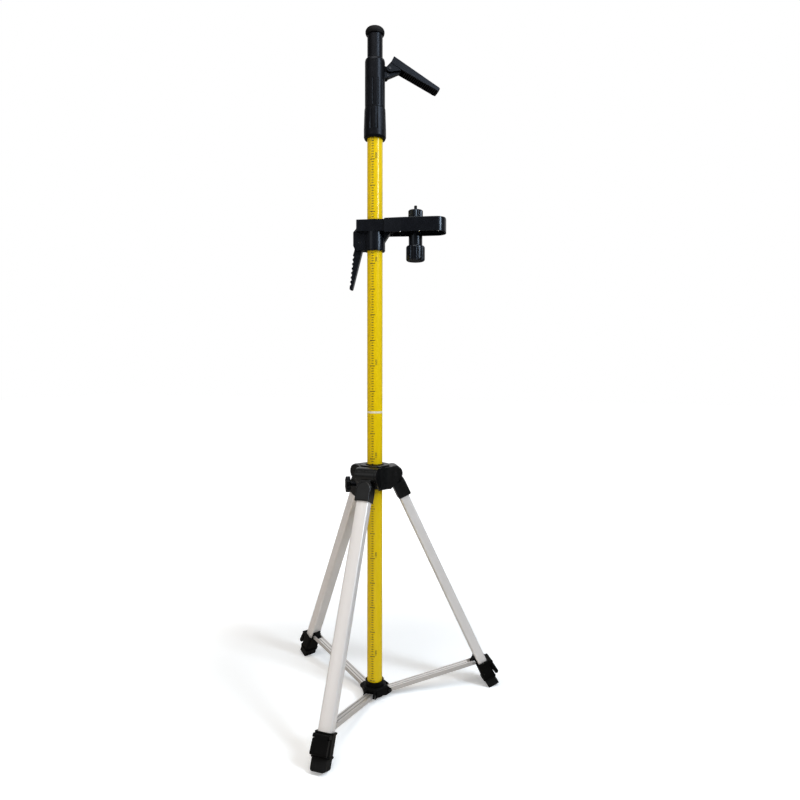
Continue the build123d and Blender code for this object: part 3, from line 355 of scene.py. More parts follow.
@dataclass(frozen=True)
class Metal:
    """Bare, brushed, anodised or plated metal with fine lines along one direction."""

    name: str
    colour: Colour
    dull_colour: Colour
    roughness: float
    along: Direction = UP
    line_size: float = 0.35 * MM
    line_depth: float = 0.006 * MM
    line_stretch: float = 120.0
    line_share: float = 0.45
    line_roughness: float = 0.12
    cloud_size: float = 60 * MM
    cloud_stretch: float = 3.0
    cloud_share: float = 0.55
    cloud_roughness: float = 0.1
    speck_size: float = 1.6 * MM
    speck_range: Range = (0.7, 0.78)
    speck_share: float = 0.35
    metallic: float = 1.0
    edge_radius: float = 0.35 * MM
    edge_light: float = 0.3
    edge_level: float = 1.25
    across: Direction = (1.0, 0.0, 0.0)
    # grooves: places across the piece where shade is painted along a groove
    grooves: tuple[float, ...] = ()
    groove_half: float = 1.1 * MM
    groove_fade: Range = (0.7, 1.2)
    groove_shade: float = 0.75
    groove_level: float = 0.3

    def shaded(self, shader: Shader, place: Socket) -> Value:
        """Paints shade along the drawn grooves of an extrusion.

        Args:
            shader: the material's nodes.
            place: the point on the piece.

        Returns:
            The share of shade, from 0 to 1.
        """
        start, end = (self.groove_half * share for share in self.groove_fade)
        shade: Value = 0.0
        for groove in self.grooves:
            away = shader.aligned(place, self.across) - groove
            inside = 1.0 - away.math("ABSOLUTE", away).above(start, end)
            shade = inside * self.groove_shade + shade
        return shade

    def material(self) -> bpy.types.Material:
        """Makes the metal: clouded tone, drawn lines in tone, roughness and relief, bright edges, and
        painted shade along any grooves.

        Returns:
            The material.
        """
        shader = Shader(self.name)
        place = shader.place()
        drawn = shader.stretched(place, self.along, self.line_stretch)
        lines = shader.noise(drawn, self.line_size, Octaves.FINE)
        drift = shader.stretched(place, self.along, self.cloud_stretch)
        clouds = shader.noise(drift, self.cloud_size, Octaves.RICH)
        specks = shader.noise(place, self.speck_size).above(*self.speck_range)
        normal = shader.rounded(self.edge_radius)
        edge = shader.edges(normal)
        tone = (lines * self.line_share + clouds * self.cloud_share - specks * self.speck_share).clamped()
        skin = shader.mixed(tone, self.dull_colour, self.colour)
        # painted shade along the grooves darkens the skin there
        groove_shaded = shader.mixed(self.shaded(shader, place), skin, scaled(self.dull_colour, self.groove_level))
        uneven = (lines - MID_NOISE) * self.line_roughness + (clouds - MID_NOISE) * self.cloud_roughness
        return shader.finish(
            base_color=shader.mixed(edge * self.edge_light, groove_shaded, scaled(self.colour, self.edge_level)),
            metallic=self.metallic,
            roughness=self.roughness + uneven,
            normal=shader.bump(lines, self.line_depth, normal),
        )


class Grain(Enum):
    """The skin that a mould leaves on plastic or rubber: blotch size and depth in metres."""

    SPARKED = (0.5 * MM, 0.014 * MM)
    POLISHED = (1.8 * MM, 0.006 * MM)
    RUBBERY = (0.8 * MM, 0.04 * MM)

    @property
    def size(self) -> float:
        """The size of one blotch."""
        return self.value[0]

    @property
    def depth(self) -> float:
        """The depth of the relief."""
        return self.value[1]


@dataclass(frozen=True)
class Moulding:
    """Moulded plastic or rubber with a mould grain, dust in its tone, and lighter edges that are rubbed
    wear together with a painted highlight.
    """

    name: str
    colour: Colour
    # the lighter colour of dust, flow lines and edges; on the edges it is rubbed wear and a painted
    # highlight
    dust_rub_and_highlight_colour: Colour
    roughness: float
    grain: Grain
    dust: float = 0.25
    # how much lighter the edges get, as rubbed wear and as a painted highlight
    rub_and_highlight: float = 0.5
    specular: float = 0.5
    # a blue cast painted into the reflections, standing for the colour of daylight
    painted_reflection_tint: Colour = WHITE
    edge_radius: float = 0.5 * MM
    dust_size: float = 14 * MM
    dust_range: Range = (0.45, 0.8)
    dust_roughness: float = 0.14
    skin_roughness: float = 0.08
    flow_size: float = 3 * MM
    flow_stretch: float = 6.0
    flow_share: float = 0.15

    def material(self) -> bpy.types.Material:
        """Makes the moulding: a grained skin, patches of dust, flow lines, and lighter edges that are
        rubbed wear together with a painted highlight.

        Returns:
            The material.
        """
        shader = Shader(self.name)
        place = shader.place()
        skin = shader.noise(place, self.grain.size, Octaves.FINE)
        patches = shader.noise(place, self.dust_size, Octaves.RICH)
        flow = shader.noise(shader.stretched(place, UP, self.flow_stretch), self.flow_size, Octaves.FINE)
        normal = shader.rounded(self.edge_radius)
        edge = shader.edges(normal)
        dusty = patches.above(*self.dust_range) * self.dust
        # the edge share here is rubbed wear together with a painted highlight
        pale = (dusty + (flow - MID_NOISE) * self.flow_share + edge * self.rub_and_highlight).clamped()
        uneven = (patches - MID_NOISE) * self.dust_roughness + (skin - MID_NOISE) * self.skin_roughness
        return shader.finish(
            base_color=shader.mixed(pale, self.colour, self.dust_rub_and_highlight_colour),
            roughness=self.roughness + uneven,
            specular_ior_level=self.specular,
            specular_tint=clear_colour(self.painted_reflection_tint),
            normal=shader.bump(skin, self.grain.depth, normal),
        )


@dataclass(frozen=True)
class Ink:
    """Printed ink, a little broken where the print is thin."""

    name: str
    colour: Colour
    thin_colour: Colour
    roughness: float = 0.4
    thin_size: float = 0.7 * MM
    thin_range: Range = (0.5, 0.72)
    thin_share: float = 0.5
    coat_size: float = 5 * MM
    coat_roughness: float = 0.15

    def material(self) -> bpy.types.Material:
        """Makes the ink.

        Returns:
            The material.
        """
        shader = Shader(self.name)
        place = shader.place()
        thin = shader.noise(place, self.thin_size, Octaves.FINE).above(*self.thin_range)
        coat = shader.noise(place, self.coat_size)
        return shader.finish(
            base_color=shader.mixed(thin * self.thin_share, self.colour, self.thin_colour),
            roughness=self.roughness + coat * self.coat_roughness,
        )


Finish = Union[Enamel, Metal, Moulding, Ink]


@dataclass
class Paintbox:
    """The object's finishes. Each material is made once, when it is first used."""

    made: dict[str, bpy.types.Material] = field(default_factory=dict)
    yellow: Enamel = Enamel("yellow_enamel", (0.72, 0.49, 0.0012), (0.67, 0.45, 0.001))
    turned: Metal = Metal("turned_aluminium", (0.86, 0.85, 0.82), (0.62, 0.61, 0.58), 0.28)
    ring: Metal = Metal("pale_aluminium", (0.95, 0.87, 0.66), (0.84, 0.76, 0.54), 0.34, metallic=0.3)
    steel: Metal = Metal("plated_steel", (0.72, 0.72, 0.72), (0.5, 0.5, 0.5), 0.3, line_stretch=1.5)
    blackened: Metal = Metal(
        "blackened_steel", (0.05, 0.05, 0.052), (0.02, 0.02, 0.021), 0.42, line_stretch=1.5
    )
    matte: Moulding = Moulding(
        "matte_black_plastic", (0.0024, 0.0024, 0.0030), (0.011, 0.011, 0.013), 0.38, Grain.SPARKED,
        # reflections painted blue, for the colour of daylight
        specular=0.14, painted_reflection_tint=(0.78, 0.85, 1.0),
    )
    dull: Moulding = Moulding(
        "dull_black_plastic", (0.0022, 0.0021, 0.0020), (0.009, 0.0085, 0.008), 0.45, Grain.SPARKED,
        specular=0.07,
    )
    satin: Moulding = Moulding(
        "satin_black_plastic", (0.0030, 0.0030, 0.0031), (0.014, 0.014, 0.0145), 0.30, Grain.SPARKED,
        specular=0.4,
    )
    gloss: Moulding = Moulding(
        "gloss_black_plastic", (0.0028, 0.0030, 0.0044), (0.012, 0.013, 0.017), 0.24, Grain.POLISHED,
        # reflections painted blue, for the colour of daylight
        dust=0.12, specular=0.4, painted_reflection_tint=(0.78, 0.88, 1.0),
    )
    rubber: Moulding = Moulding(
        "black_rubber", (0.0045, 0.0044, 0.0043), (0.016, 0.0155, 0.015), 0.66, Grain.RUBBERY,
        specular=0.15,
    )
    pale: Moulding = Moulding("pale_plastic", (0.55, 0.55, 0.5), (0.7, 0.7, 0.66), 0.5, Grain.SPARKED)
    ink: Ink = Ink("scale_ink", (0.02, 0.014, 0.004), (0.10, 0.07, 0.004))

    def get(self, finish: Finish) -> bpy.types.Material:
        """Finds the material of a finish, and makes it at first use.

        Args:
            finish: the finish.

        Returns:
            Its material.
        """
        if finish.name not in self.made:
            self.made[finish.name] = finish.material()
        return self.made[finish.name]

    def dress(self, node: str, finish: Finish) -> None:
        """Gives a solid of the frame its finish.

        Args:
            node: the solid's node.
            finish: the finish that it gets.
        """
        solid = frame["nodes"][node]
        solid.data.materials.clear()
        solid.data.materials.append(self.get(finish))
        log.info("dressed %s in %s", node, finish.name)


@dataclass
class Workbench:
    """Makes the pieces that the frame doesn't have, and seats them on their bodies."""

    paintbox: Paintbox

    def piece(
        self,
        name: str,
        points: Sequence[Vector],
        faces: Sequence[Sequence[int]],
        body: str,
        slot: str,
        finish: Finish,
        smooth_angle: float = 35.0,
    ) -> bpy.types.Object:
        """Makes one mesh piece.

        Args:
            name: the piece's name.
            points: corners in the object's frame, in metres.
            faces: corner numbers of each face.
            body: the body that it rides on.
            slot: the record's material slot; not used.
            finish: its finish.
            smooth_angle: edges flatter than this are shaded smooth, in degrees.

        Returns:
            The piece.
        """
        mesh = bpy.data.meshes.new(name)
        mesh.from_pydata([tuple(p) for p in points], [], [tuple(f) for f in faces])
        mesh.validate()
        mesh.shade_smooth()
        mesh.set_sharp_from_angle(angle=math.radians(smooth_angle))
        mesh.materials.append(self.paintbox.get(finish))
        made = bpy.data.objects.new(name, mesh)
        bpy.context.scene.collection.objects.link(made)
        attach(made, body)
        log.info("made %s on %s: %d faces", name, body, len(mesh.polygons))
        return made


def turned_grid(
    rings: Sequence[float], steps: int, radius: Callable[[float, float], float], place: Matrix
) -> tuple[list[Vector], list[list[int]]]:
    """Makes a closed turned form whose radius may change with height and angle.

    Args:
        rings: heights of the rings, from the lowest.
        steps: points round each ring.
        radius: gives the radius at a height and an angle.
        place: moves the form from its own axis to its place on the object.

    Returns:
        The points and the faces.
    """
    points: list[Vector] = []
    faces: list[list[int]] = []
    for level, height in enumerate(rings):
        for step in range(steps):
            angle = 2 * math.pi * step / steps
            reach = radius(height, angle)
            points.append(place @ Vector((reach * math.cos(angle), reach * math.sin(angle), height)))
            if level:
                here = level * steps + step
                ahead = level * steps + (step + 1) % steps
                faces.append([here - steps, ahead - steps, ahead, here])
    faces.append(list(reversed(range(steps))))
    faces.append([(len(rings) - 1) * steps + step for step in range(steps)])
    return points, faces


@dataclass
class PrintedScale:
    """The scale printed up the front of the pole: short and long marks, and plain numbers."""

    bench: Workbench
    azimuth: float = -86.0
    lower_first_mark: float = 88.7 * MM
    upper_first_mark: float = 72.6 * MM
    pitch: float = 5 * MM
    marks_per_long: int = 10
    marks_per_number: int = 40
    short_width: float = 4.2 * MM
    long_width: float = 10.0 * MM
    line: float = 1.35 * MM
    long_line: float = 1.45 * MM
    ink_height: float = 0.09 * MM
    ink_root: float = 0.05 * MM
    margin: float = 3 * MM
    first_number: int = 1000
    number_step: int = 200
    number_size: float = 5.6 * MM
    number_offset: float = 5.0 * MM
    number_rise: float = 1.6 * MM
    number_strips: int = 7
    number_roundness: int = 3
    digit_height: float = 0.7
    strips: int = 4

    def build(self) -> None:
        """Prints the scale on both tubes."""
        self.print_tube("lower_tube", self.lower_first_mark)
        self.print_tube("upper_tube", self.upper_first_mark)

    def wrapped(self, across: float, height: float, radius: float) -> Vector:
        """Wraps a point of the flat print round the pole."""
        turn = math.degrees(across / radius)
        return polar(radius, self.azimuth + turn, height)

    def print_tube(self, tube: str, first_mark: float) -> None:
        """Prints the marks and numbers of one tube.

        Args:
            tube: the tube's node.
            first_mark: the height from which its marks are counted.
        """
        low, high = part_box(tube)
        radius = high.x
        first = math.ceil((low.z + self.margin - first_mark) / self.pitch)
        last = math.floor((high.z - self.margin - first_mark) / self.pitch)
        points: list[Vector] = []
        faces: list[list[int]] = []
        for mark in range(first, last + 1):
            height = first_mark + mark * self.pitch
            long_mark = mark % self.marks_per_long == 0
            self.add_mark(points, faces, radius, height, long_mark)
            if mark % self.marks_per_number == 0:
                self.print_number(tube, radius, height, mark // self.marks_per_number)
        self.bench.piece(f"{tube}_scale", points, faces, "pole", "yellow_paint", self.bench.paintbox.ink)

    def add_mark(
        self, points: list[Vector], faces: list[list[int]], radius: float, height: float, long_mark: bool
    ) -> None:
        """Adds one mark as a thin block bent round the pole.

        Args:
            points: the print's points, which get the mark's.
            faces: the print's faces, which get the mark's.
            radius: the tube's radius.
            height: the mark's height over the floor.
            long_mark: whether it is a long one.
        """
        width = self.long_width if long_mark else self.short_width
        half = (self.long_line if long_mark else self.line) / 2
        start = len(points)
        for strip in range(self.strips + 1):
            across = width * (strip / self.strips - 1 / 2)
            for level in (-half, half):
                for reach in (radius - self.ink_root, radius + self.ink_height):
                    points.append(self.wrapped(across, height + level, reach))
        for strip in range(self.strips):
            here = start + BLOCK_CORNERS * strip
            ahead = here + BLOCK_CORNERS
            for near, far in ((1, 3), (3, 2), (2, 0), (0, 1)):
                faces.append([here + near, ahead + near, ahead + far, here + far])
        end = start + BLOCK_CORNERS * self.strips
        faces.append([start, start + 1, start + 3, start + 2])
        faces.append([end, end + 2, end + 3, end + 1])

    def cut_strips(self, flat: bpy.types.Mesh) -> None:
        """Cuts a flat number into strips, so that it bends with the pole.

        Args:
            flat: the number's mesh, which is changed.
        """
        cutter = bmesh.new()
        cutter.from_mesh(flat)
        for strip in range(1, self.number_strips):
            level = self.number_size * strip / self.number_strips
            geometry = cutter.verts[:] + cutter.edges[:] + cutter.faces[:]
            bmesh.ops.bisect_plane(cutter, geom=geometry, plane_co=(0, level, 0), plane_no=(0, 1, 0))
        cutter.to_mesh(flat)
        cutter.free()

    def print_number(self, tube: str, radius: float, height: float, count: int) -> None:
        """Prints one number, read upwards, beside its long mark.

        Args:
            tube: the tube's node.
            radius: the tube's radius.
            height: the mark's height over the floor.
            count: how many numbers stand below it.
        """
        text = bpy.data.curves.new(f"{tube}_number", "FONT")
        label = str(self.first_number + self.number_step * count)
        text.body = label
        text.size = self.number_size
        text.extrude = (self.ink_height + self.ink_root) / 2
        text.resolution_u = self.number_roundness
        writer = bpy.data.objects.new("number_writer", text)
        bpy.context.scene.collection.objects.link(writer)
        bpy.context.view_layer.update()
        written = writer.evaluated_get(bpy.context.evaluated_depsgraph_get())
        flat = bpy.data.meshes.new_from_object(written)
        bpy.data.objects.remove(writer)
        self.cut_strips(flat)
        middle = (self.ink_height - self.ink_root) / 2
        points: list[Vector] = []
        for vertex in flat.vertices:
            across = self.number_offset + self.number_size * self.digit_height - vertex.co.y
            rise = height + self.number_rise + vertex.co.x
            points.append(self.wrapped(across, rise, radius + middle + vertex.co.z))
        faces = [list(face.vertices) for face in flat.polygons]
        bpy.data.meshes.remove(flat)
        ink = self.bench.paintbox.ink
        self.bench.piece(f"scale_number_{label}", points, faces, "pole", "yellow_paint", ink)


@dataclass
class Pole:
    """The fixed pole: two tubes, their coupler, the foot and the lower hub."""

    bench: Workbench

    def dress(self) -> None:
        """Gives the pole's solids their finishes."""
        paint = self.bench.paintbox
        for node in ("lower_tube", "upper_tube"):
            paint.dress(node, paint.yellow)
        paint.dress("tube_coupler", paint.ring)
        paint.dress("pole_foot", paint.rubber)
        paint.dress("lower_hub", paint.dull)
        paint.dress("hub_rivets", paint.blackened)
        paint.dress("lock_sleeve", paint.matte)

    def build(self) -> None:
        """Prints the scale."""
        PrintedScale(self.bench).build()


@dataclass
class Head:
    """The telescoping head: collar, housing, rod, cap and jack lever."""

    bench: Workbench

    def dress(self) -> None:
        """Gives the head's solids their finishes."""
        paint = self.bench.paintbox
        for node in ("twist_collar", "head_housing", "top_rod", "jack_lever", "jack_strut"):
            paint.dress(node, paint.matte)
        paint.dress("extension_tube", paint.turned)
        paint.dress("top_cap", paint.rubber)
        for node in ("strut_pin", "jack_pin"):
            paint.dress(node, paint.blackened)


@dataclass
class Crown:
    """The sliding crown, its liner, the leg pins and the thumb screw."""

    bench: Workbench

    def dress(self) -> None:
        """Gives the crown's solids their finishes."""
        paint = self.bench.paintbox
        paint.dress("crown", paint.satin)
        paint.dress("crown_bush", paint.matte)
        paint.dress("leg_pins", paint.blackened)
        paint.dress("crown_knob", paint.matte)
        paint.dress("crown_stud", paint.steel)


@dataclass
class Leg:
    """One folding leg with its brace, lock and foot."""

    bench: Workbench
    number: int
    leg_colour: Colour = (0.93, 0.875, 0.84)
    leg_dull: Colour = (0.82, 0.77, 0.73)
    leg_metal: float = 0.45
    leg_roughness: float = 0.4
    brace_colour: Colour = (0.82, 0.79, 0.77)
    brace_dull: Colour = (0.68, 0.65, 0.63)
    brace_metal: float = 0.8
    brace_roughness: float = 0.34
    brace_groove: float = 3.6 * MM
    shoulder_middle: float = 29.8 * MM
    shoulder_half_width: float = 15.1 * MM
    shoulder_half_length: float = 15.5 * MM
    shoulder_power: float = 2.6
    shoulder_back: float = -12.6 * MM
    shoulder_front: float = 11.4 * MM
    shoulder_steps: int = 48

    def run(self, node: str) -> Direction:
        """Finds the direction in which a long solid runs, from the far ends of its box.

        Args:
            node: the solid's node.

        Returns:
            The direction, outward and down.
        """
        low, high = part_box(node)
        size = high - low
        outward = self.direction()
        along = outward * math.hypot(size.x, size.y)
        along.z = -size.z
        return tuple(along.normalized())

    def direction(self) -> Vector:
        """Finds which way the leg stands.

        Returns:
            The level direction from the pole to the foot.
        """
        low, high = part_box(f"foot_{self.number}")
        middle = (low + high) / 2
        return Vector((middle.x, middle.y, 0)).normalized()

    def dress(self) -> None:
        """Gives the leg's solids their finishes."""
        paint = self.bench.paintbox
        count = self.number
        across = tuple(self.joint("fold")["axis"])
        tube = Metal(
            f"anodised_leg_{count}",
            self.leg_colour,
            self.leg_dull,
            self.leg_roughness,
            self.run(f"leg_tube_{count}"),
            metallic=self.leg_metal,
        )
        fall = self.run(f"brace_{count}")
        brace = Metal(
            f"folded_brace_{count}",
            self.brace_colour,
            self.brace_dull,
            self.brace_roughness,
            (fall[0], fall[1], -fall[2]),
            metallic=self.brace_metal,
            across=across,
            # shade painted along the brace's two grooves
            grooves=(-self.brace_groove, self.brace_groove),
        )
        paint.dress(f"leg_tube_{count}", tube)
        paint.dress(f"inner_leg_{count}", tube)
        paint.dress(f"brace_{count}", brace)
        paint.dress(f"leg_socket_{count}", paint.satin)
        for node in ("brace_lug", "lock_housing", "lock_lever"):
            paint.dress(f"{node}_{count}", paint.dull)
        paint.dress(f"brace_rivet_{count}", paint.steel)
        paint.dress(f"foot_{count}", paint.rubber)

    def joint(self, motion: str) -> dict:
        """Returns one of the leg's joints from the record."""
        name = f"leg_{self.number}_{motion}"
        return next(row for row in frame["record"]["behaviour"]["joints"] if row["name"] == name)

    def rounded(self, wave: float) -> float:
        """Returns a sine or cosine filled out to the shoulder's squarer outline."""
        return math.copysign(abs(wave) ** (2 / self.shoulder_power), wave)

    def build(self) -> None:
        """Makes the socket's full shoulders, which cover the tube's end."""
        fold = self.joint("fold")
        along = Vector(self.joint("extend")["axis"]).normalized()
        across = Vector(fold["axis"]).normalized()
        outward = across.cross(along)
        if outward.z < 0:
            across.negate()
            outward.negate()
        middle = Vector(fold["pos_m"]) + along * self.shoulder_middle
        steps = self.shoulder_steps
        points: list[Vector] = []
        for depth in (self.shoulder_back, self.shoulder_front):
            for step in range(steps):
                turn = 2 * math.pi * step / steps
                side = self.rounded(math.cos(turn)) * self.shoulder_half_width
                rise = self.rounded(math.sin(turn)) * self.shoulder_half_length
                points.append(middle + outward * depth + across * side + along * rise)
        faces = [list(reversed(range(steps))), list(range(steps, 2 * steps))]
        for step in range(steps):
            ahead = (step + 1) % steps
            faces.append([step, ahead, ahead + steps, step + steps])
        name = f"socket_shoulder_{self.number}"
        satin = self.bench.paintbox.satin
        self.bench.piece(name, points, faces, f"leg_{self.number}", "black_plastic", satin)


@dataclass
class Bracket:
    """The instrument bracket with its clamp lever and its screws."""

    bench: Workbench
    thread_pitch: float = 1.27 * MM
    thread_depth: float = 0.7 * MM
    rings_per_pitch: int = 8
    thread_steps: int = 32
    knurls: int = 36
    knurl_depth: float = 0.5 * MM
    knurl_margin: float = 0.8 * MM
    knurl_run_out: float = 0.2
    steps_per_knurl: int = 4
    arm_azimuth: float = 11.0
    rim_screw_reaches: tuple[float, ...] = (53 * MM, 90 * MM, 127 * MM)
    rim_screw_sides: tuple[float, ...] = (23.4 * MM, 23.4 * MM, 22.4 * MM)
    rim_screw_radius: float = 1.3 * MM
    rim_screw_drop: float = 1.4 * MM
    rim_screw_chamfer: float = 0.4 * MM
    rim_screw_steps: int = 20
    rim_screw_root: float = 2.0 * MM
    rim_depth: float = 27.0 * MM

    def dress(self) -> None:
        """Gives the bracket's solids their finishes."""
        paint = self.bench.paintbox
        for node in ("clamp_sleeve", "clamp_body", "clamp_lever", "platform", "mount_knob"):
            paint.dress(node, paint.gloss)
        paint.dress("clamp_pad", paint.pale)
        paint.dress("clamp_pin", paint.blackened)
        paint.dress("platform_screws", paint.steel)

    def build(self) -> None:
        """Makes the thread and the knurl in place of plain solids, and adds the rim's screws."""
        self.build_stud()
        self.build_collar()
        self.build_rim_screws()

    def build_rim_screws(self) -> None:
        """Sets the small screws into the underside of the platform's near rim."""
        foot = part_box("platform")[1].z - self.rim_depth
        low = foot - self.rim_screw_drop
        rings = [low, low + self.rim_screw_chamfer, foot + self.rim_screw_root]

        def radius(height: float, angle: float) -> float:
            """Returns the head's radius, smaller at its chamfered end."""
            return self.rim_screw_radius - (self.rim_screw_chamfer if height == low else 0.0)

        steel = self.bench.paintbox.steel
        for count, (reach, side) in enumerate(zip(self.rim_screw_reaches, self.rim_screw_sides), 1):
            middle = polar(reach, self.arm_azimuth, 0) + polar(side, self.arm_azimuth - 90, 0)
            points, faces = turned_grid(rings, self.rim_screw_steps, radius, Matrix.Translation(middle))
            self.bench.piece(f"rim_screw_{count}", points, faces, "clamp", "steel", steel)

    def build_stud(self) -> None:
        """Cuts the instrument thread on the stud."""
        low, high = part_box("mount_stud")
        axis = (low + high) / 2
        shank = (high.x - low.x) / 2
        mount = next(m for m in frame["record"]["mounts"] if m["name"] == "instrument_stud")
        crest = mount["dims"]["r_mm"] * MM
        start = high.z - mount["dims"]["length_mm"] * MM
        step = self.thread_pitch / self.rings_per_pitch
        count = math.floor((high.z - start) / step)
        threaded = [start + (ring + 1 / 2) * (high.z - start) / count for ring in range(count)]
        rings = [low.z, start, *threaded, high.z]

        def radius(height: float, angle: float) -> float:
            """Works out the shank's radius, or the thread's with a lead-in at the tip.

            Args:
                height: the height over the floor.
                angle: the direction round the stud, in radians.

            Returns:
                The radius there.
            """
            if height <= start:
                return shank
            turn = (height - start) / self.thread_pitch - angle / (2 * math.pi)
            wave = abs(2 * (turn - math.floor(turn)) - 1)
            tip = max(0.0, 1 - (high.z - height) / self.thread_pitch)
            return crest - self.thread_depth * max(wave, tip)

        place = Matrix.Translation((axis.x, axis.y, 0))
        points, faces = turned_grid(rings, self.thread_steps, radius, place)
        blackened = self.bench.paintbox.blackened
        stud = self.bench.piece("threaded_stud", points, faces, "mount_screw", "steel", blackened)
        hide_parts("mount_stud")

    def build_collar(self) -> None:
        """Cuts the knurl on the stud's collar."""
        low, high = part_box("stud_collar")
        axis = (low + high) / 2
        outer = (high.x - low.x) / 2
        edge = self.knurl_margin
        run_out = edge * self.knurl_run_out
        bottom = low.z + edge
        top = high.z - edge
        rings = [low.z, bottom, bottom + run_out, top - run_out, top, high.z]

        def radius(height: float, angle: float) -> float:
            """Works out the ribbed radius between the two plain, chamfered ends.

            Args:
                height: the height over the floor.
                angle: the direction round the collar, in radians.

            Returns:
                The radius there.
            """
            if height in (low.z, high.z):
                return outer - edge
            if bottom < height < top:
                return outer - self.knurl_depth * (1 - math.cos(self.knurls * angle)) / 2
            return outer - self.knurl_depth

        place = Matrix.Translation((axis.x, axis.y, 0))
        points, faces = turned_grid(rings, self.knurls * self.steps_per_knurl, radius, place)
        gloss = self.bench.paintbox.gloss
        collar = self.bench.piece("knurled_collar", points, faces, "mount_screw", "bracket_plastic", gloss)
        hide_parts("stud_collar")


@dataclass(frozen=True)
class Softbox:
    """A soft light, in metres and watts, which glossy skins may mirror or not."""

    name: str
    place: tuple[float, float, float]
    width: float
    height: float
    power: float
    colour: Colour
    mirrored: bool = True

    def hang(self, aim: Vector) -> None:
        """Hangs the softbox so that it faces a point.

        Args:
            aim: the point that it faces.
        """
        lamp = bpy.data.lights.new(self.name, "AREA")
        lamp.shape = "RECTANGLE"
        lamp.size = self.width
        lamp.size_y = self.height
        lamp.energy = self.power
        lamp.color = self.colour
        box = bpy.data.objects.new(self.name, lamp)
        box.location = self.place
        box.visible_glossy = self.mirrored
        box.rotation_euler = (aim - Vector(self.place)).to_track_quat("-Z", "Y").to_euler()
        bpy.context.scene.collection.objects.link(box)


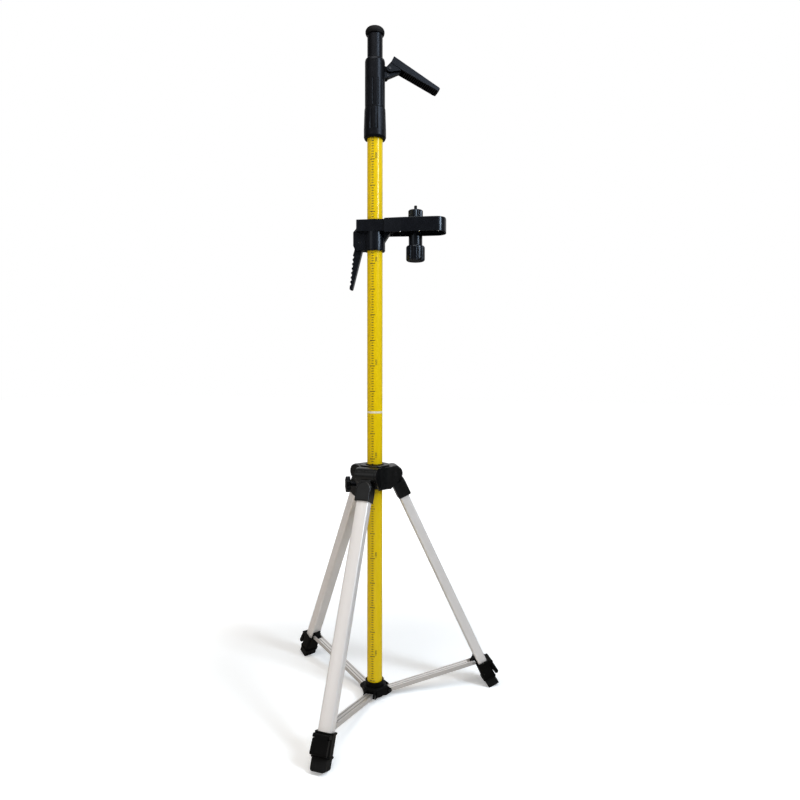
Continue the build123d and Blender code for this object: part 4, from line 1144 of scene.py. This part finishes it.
@dataclass
class Studio:
    """The pale floor, the soft lights, the white surround and the camera.

    The gloss colours, the wall and the window show only in reflections.
    """

    eye: tuple[float, float, float] = (0.4400, -1.1412, 0.66335)
    view_azimuth: float = 108.73
    view_drop: float = 2.734
    view_roll: float = 0.142
    lens: float = 27.588
    sensor: float = 36.0
    floor_reach: float = 12.0
    floor_colour: Colour = (0.9, 0.9, 0.9)
    floor_roughness: float = 0.9
    shadow_reach: float = 0.3
    white_reach: float = 1.0
    near_glow: float = 0.3
    room_level: float = 0.12
    surround: float = 1.0
    backdrop_azimuth: float = 100.0
    backdrop_edge: float = 0.25
    backdrop_core: float = 0.65
    floor_gloss: Colour = (0.5, 0.46, 0.42)
    back_gloss: Colour = (0.12, 0.115, 0.11)
    back_heading: Direction = (0.9, 0.45, 0.0)
    back_start: float = 0.12
    back_full: float = 0.42
    low_wall: float = 0.28
    wall_foot: float = 0.1
    wall_top: float = 0.45
    window_azimuth: float = -113.0
    window_rise: float = 23.0
    window_edge: float = 0.94
    window_core: float = 0.985
    window_level: float = 1.0
    aim: tuple[float, float, float] = (0.0, 0.0, 0.65)
    softboxes: tuple[Softbox, ...] = (
        Softbox("key_box", tuple(polar(1.9, -20.0, 1.85)), 0.5, 1.1, 42.0, (0.78, 0.89, 1.0)),
        Softbox("fill_box", tuple(polar(2.4, -138.0, 1.25)), 2.2, 2.4, 22.0, (1.0, 0.96, 0.9), False),
        Softbox("top_box", (0.3, -1.0, 2.7), 1.6, 1.2, 32.0, (1.0, 0.975, 0.94)),
    )

    def build(self) -> None:
        """Sets the stage."""
        self.add_floor()
        self.add_world()
        for softbox in self.softboxes:
            softbox.hang(Vector(self.aim))
        self.add_camera()
        bpy.context.scene.view_settings.view_transform = "Standard"

    def add_floor(self) -> None:
        """Lays the floor: white to the eye with the object's soft shadow, and darker in reflections."""
        reach = self.floor_reach
        mesh = bpy.data.meshes.new("floor")
        corners = [(-reach, -reach, 0), (reach, -reach, 0), (reach, reach, 0), (-reach, reach, 0)]
        mesh.from_pydata(corners, [], [(0, 1, 2, 3)])
        floor = bpy.data.objects.new("floor", mesh)
        bpy.context.scene.collection.objects.link(floor)
        shader = Shader("pale_floor")
        seen = (shader.ray("Is Camera Ray") + shader.ray("Is Transmission Ray")).clamped()
        settings = {"operation": "LENGTH"}
        away = shader.node("ShaderNodeVectorMath", settings, {0: shader.place()}, "Value")
        far = away.above(self.shadow_reach, self.white_reach)
        glow = shader.mixed(seen * (self.near_glow + far * (1.0 - self.near_glow)), BLACK, WHITE)
        behind = shader.aligned(shader.place(), self.back_heading).above(self.back_start, self.back_full)
        mirrored = shader.mixed(behind, self.floor_gloss, self.back_gloss)
        mesh.materials.append(
            shader.finish(
                base_color=shader.mixed(shader.ray("Is Glossy Ray"), self.floor_colour, mirrored),
                roughness=self.floor_roughness,
                specular_ior_level=0.0,
                emission_color=glow,
                emission_strength=1.0,
            )
        )

    def add_world(self) -> None:
        """Makes the surround: white to the eye, and to reflections a wall, a dim room and a window."""
        world = bpy.data.worlds.new("surround")
        bpy.context.scene.world = world
        world.use_nodes = True
        nodes = Nodes(world.node_tree)
        look = nodes.node("ShaderNodeTexCoord", {}, {}, "Generated")
        facing = nodes.aligned(look, tuple(polar(1, self.backdrop_azimuth, 0)))
        backdrop = facing.above(self.backdrop_edge, self.backdrop_core)
        plain = nodes.ray("Is Camera Ray") + nodes.ray("Is Transmission Ray")
        rise = nodes.aligned(look, UP).above(self.wall_foot, self.wall_top)
        wall = backdrop * (self.low_wall + rise * (1.0 - self.low_wall))
        tilt = math.radians(self.window_rise)
        opening = tuple(polar(math.cos(tilt), self.window_azimuth, math.sin(tilt)))
        window = nodes.aligned(look, opening).above(self.window_edge, self.window_core) * self.window_level
        seen = (plain + nodes.ray("Is Glossy Ray") * (wall + window)).clamped()
        level = self.room_level + seen * (self.surround - self.room_level)
        background = world.node_tree.nodes["Background"]
        nodes.feed(background.inputs["Strength"], level)
        nodes.feed(background.inputs["Color"], clear_colour(WHITE))

    def add_camera(self) -> None:
        """Sets up the camera at the photograph's viewpoint."""
        lens = bpy.data.cameras.new("camera")
        lens.sensor_width = self.sensor
        lens.lens = self.lens
        camera = bpy.data.objects.new("camera", lens)
        bpy.context.scene.collection.objects.link(camera)
        drop = math.radians(self.view_drop)
        look = polar(math.cos(drop), self.view_azimuth, -math.sin(drop))
        roll = Matrix.Rotation(math.radians(self.view_roll), 3, "Z")
        turn = look.to_track_quat("-Z", "Y").to_matrix() @ roll
        camera.matrix_world = Matrix.Translation(self.eye) @ turn.to_4x4()
        bpy.context.scene.camera = camera


def main() -> None:
    """Dresses the object and sets the stage."""
    logging.basicConfig(level=logging.INFO, format="%(name)s: %(message)s")
    bench = Workbench(Paintbox())
    pole = Pole(bench)
    pole.dress()
    pole.build()
    Head(bench).dress()
    Crown(bench).dress()
    for number in LEGS:
        leg = Leg(bench, number)
        leg.dress()
        leg.build()
    bracket = Bracket(bench)
    bracket.dress()
    bracket.build()
    Studio().build()


if __name__ == "__main__":
    main()
